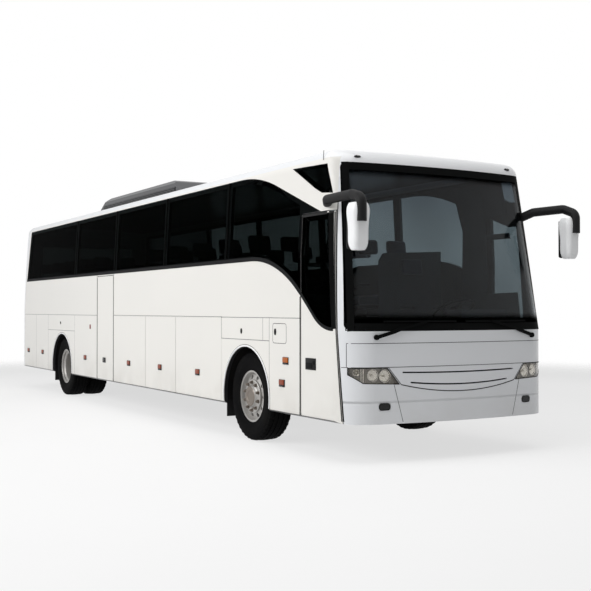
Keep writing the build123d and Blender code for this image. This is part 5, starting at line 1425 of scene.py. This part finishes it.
def frame_of(bm, x, width, front, floor):
    """Pedestal, rail and arm rests under a seat."""
    half = width / 2
    block(bm, (x - half, at(front + 0.03), floor + 0.30), (x + half, at(front + 0.46), floor + 0.342), 0.008)
    block(bm, (x - 0.05, at(front + 0.16), floor), (x + 0.05, at(front + 0.32), floor + 0.32), 0.01)
    for arm in (x - half + ARM_HALF, x + half - ARM_HALF):
        block(bm, (arm - ARM_HALF, at(front + 0.20), floor + 0.57),
              (arm + ARM_HALF, at(front + 0.46), floor + 0.605), 0.008)


print("one place:", len(cushion_mesh.polygons), "and", len(back_mesh.polygons), "faces")

# %% [markdown]
# ## Seats
# Passengers sit in pairs, twelve rows on the driver's side; the kerb side leaves out the rows by the
# middle door's stairs. The driver's seat is a single place on the lower platform.

# %% Seats
SEAT_START, SEAT_PITCH, SEAT_ROWS = 1.95, 0.80, 12
FLOOR_Z, PLATFORM_Z = 1.20, 0.92
SEAT_XS, PAIR_WIDTH = (0.545, 0.975), 0.86
DRIVER_X, DRIVER_FRONT, DRIVER_WIDTH = 0.60, 1.11, 0.48
STAIRS = (6.72, 7.46)


def seats(names, groups, floor, width, node):
    """Cushions, backs and frames of groups of (places across, front station); they stand for a node."""
    cushions, backs, frames = bmesh.new(), bmesh.new(), bmesh.new()
    for xs, front in groups:
        for x in xs:
            copy_in(cushions, cushion_mesh, (x, at(front), floor))
            copy_in(backs, back_mesh, (x, at(front), floor))
        frame_of(frames, sum(xs) / len(xs), width, front, floor)
    soft = [build(name, bm, "coach_body", "seat_cloth", seat_cloth, crease=60.0)
            for name, bm in zip(names, (cushions, backs))]
    build(names[2], frames, "coach_body", "dark_trim", dark_plastic)
    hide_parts(node)


pairs = []
for row in range(SEAT_ROWS):
    front = SEAT_START + row * SEAT_PITCH
    for side, word in SIDES:
        if side == DRIVER or not STAIRS[0] - SEAT_PITCH <= front <= STAIRS[1]:
            pairs.append(([side * x for x in SEAT_XS], front))
seats(("seat_cushions", "seat_backs", "seat_frames"), pairs, FLOOR_Z, PAIR_WIDTH, "passenger_seats")
seats(("driver_cushion", "driver_back", "driver_seat_frame"), [([DRIVER_X], DRIVER_FRONT)], PLATFORM_Z,
      DRIVER_WIDTH, "driver_seat")

# %% [markdown]
# ## Driver's cab lining
# Behind the windscreen the driver's window is framed by moulded trim: a sill console, a wide pillar
# behind it, the rail of a sun blind and the blind above it. A half-height partition stands behind the
# driver's seat. They are sheets cut to an outline, bent to the lean of the wall and thickened, with
# every edge rounded at the end.

# %% Cab lining
LINING_INSET, LINING_THICK = 0.075, 0.012
CAB_SHEETS = [[(0.47, 1.30), (1.48, 1.30), (1.48, 1.66), (0.52, 1.68)],
              [(1.02, 1.60), (1.48, 1.60), (1.44, 2.40), (1.60, 2.93), (1.10, 2.93), (1.02, 2.45)],
              [(0.62, 2.28), (1.06, 2.28), (1.06, 2.345), (0.64, 2.345)],
              [(0.66, 2.55), (1.06, 2.55), (1.14, 2.93), (0.74, 2.93)]]
PARTITION = [(0.24, 0.95), (1.14, 0.95), (1.14, 2.19), (0.30, 2.15), (0.24, 2.06)]
PARTITION_STATION, PARTITION_THICK = 1.80, 0.03

bm = bmesh.new()
for outline in CAB_SHEETS:
    sheet = bm.faces.new([bm.verts.new((wall_x(z) - LINING_INSET, at(station), z)) for station, z in outline])
    grow(bm, [sheet], (LINING_THICK, 0, 0))
sheet = bm.faces.new([bm.verts.new((x, at(PARTITION_STATION), z)) for x, z in PARTITION])
grow(bm, [sheet], (0, PARTITION_THICK, 0))
bmesh.ops.bevel(bm, geom=list(bm.edges), offset=0.004, affect="EDGES", segments=2, profile=0.5, material=-1)
build("cab_lining", bm, "coach_body", "dash_plastic", dash_vinyl)

# %% [markdown]
# ## Studio floor
# The coach stands on a plain pale floor that fades into a white surround. The floor has to keep the
# coach's shadow and still look nearly white, without more light on the coach. So rays from the camera,
# from gloss and through glass see a share of plain white in it, while its light on the coach stays that
# of a pale floor.

# %% Floor
FLOOR_RADIUS, FADE_END, FADE_START, FLOOR_WHITE = 60.0, 17.0, 7.5, 0.68


def seen_directly(tree):
    """One for rays from the camera, from a glossy surface or through glass."""
    path = tree.nodes.new("ShaderNodeLightPath").outputs
    camera_ray = Signal(tree, path["Is Camera Ray"])
    return camera_ray.at_least(path["Is Glossy Ray"]).at_least(path["Is Transmission Ray"])


bm = bmesh.new()
bmesh.ops.create_circle(bm, cap_ends=True, radius=FLOOR_RADIUS, segments=96)
mesh = bpy.data.meshes.new("studio_floor")
bm.to_mesh(mesh)
bm.free()
studio_floor = bpy.data.objects.new("studio_floor", mesh)
bpy.context.scene.collection.objects.link(studio_floor)

floor_finish, tree, inputs = finish("floor_finish", Roughness=0.9, Specular_IOR_Level=0.0)
pale = mix_colour(tree, noise(tree, 0.8, 3.0), tone(246, 246, 246), tone(251, 251, 251))
wire(tree, pale, inputs["Base Color"])
x, y, z = place(tree)
near = (x * x + y * y).math("SQRT").ramp(FADE_END, FADE_START)
wire(tree, near, inputs["Alpha"])
glow = tree.nodes.new("ShaderNodeEmission")
blend = tree.nodes.new("ShaderNodeMixShader")
surface = tree.nodes["Material Output"].inputs["Surface"]
wire(tree, seen_directly(tree) * near * FLOOR_WHITE, blend.inputs["Fac"])
wire(tree, surface.links[0].from_socket, blend.inputs[1])
wire(tree, glow.outputs["Emission"], blend.inputs[2])
wire(tree, blend.outputs["Shader"], surface)
mesh.materials.append(floor_finish)
print("floor faces", len(mesh.polygons))

# %% [markdown]
# ## Surround and lamps
# The surround is white where it is seen and dim where it lights, by the same rays. A wide soft lamp on
# the kerb side lights the long wall and a smaller one over the nose lights the brow, so the front stays
# in gentle shade.

# %% Surround and lamps
AMBIENT = 0.26
world = bpy.data.worlds.new("studio_surround")
bpy.context.scene.world = world
world.use_nodes = True
tree = world.node_tree
sky = tree.nodes["Background"].inputs
wire(tree, seen_directly(tree) * (1.0 - AMBIENT) + AMBIENT, sky["Strength"])
sky["Color"].default_value = (1.0, 1.0, 1.0, 1.0)


def soft_lamp(name, spot, target, width, height, power):
    """A wide lamp that looks at a point."""
    data = bpy.data.lights.new(name, "AREA")
    data.shape = "RECTANGLE"
    data.size, data.size_y, data.energy = width, height, power
    lamp = bpy.data.objects.new(name, data)
    lamp.location = spot
    lamp.rotation_euler = (Vector(target) - Vector(spot)).to_track_quat("-Z", "Y").to_euler()
    bpy.context.scene.collection.objects.link(lamp)


soft_lamp("kerb_lamp", (-14.0, -1.5, 8.0), (-1.0, 1.0, 1.5), 16.0, 7.0, 1390.0)
soft_lamp("top_lamp", (-2.0, -7.0, 11.0), (0.0, -4.0, 2.8), 8.0, 8.0, 420.0)
bpy.context.scene.view_settings.view_transform = "Standard"

# %% [markdown]
# ## Camera
# The camera stands low, ahead of the kerb corner, where the photograph was taken from. Its focal length
# is written in pixels of the picture, as it was solved, and turned into millimetres on the sensor.

# %% Camera
FOCAL_PIXELS, IMAGE_PIXELS, SENSOR = 1009.0, 591.0, 36.0
CAMERA_X, CAMERA_STATION, CAMERA_Z = -6.451, -7.958, 1.487
TURN, TILT = math.radians(29.68), math.radians(0.81)

camera_data = bpy.data.cameras.new("photo_camera")
camera_data.sensor_width = SENSOR
camera_data.lens = FOCAL_PIXELS / IMAGE_PIXELS * SENSOR
camera = bpy.data.objects.new("photo_camera", camera_data)
camera.location = (CAMERA_X, at(CAMERA_STATION), CAMERA_Z)
look = Vector((math.sin(TURN) * math.cos(TILT), math.cos(TURN) * math.cos(TILT), math.sin(TILT)))
camera.rotation_euler = look.to_track_quat("-Z", "Y").to_euler()
bpy.context.scene.collection.objects.link(camera)
bpy.context.scene.camera = camera
print("lens", round(camera_data.lens, 2))
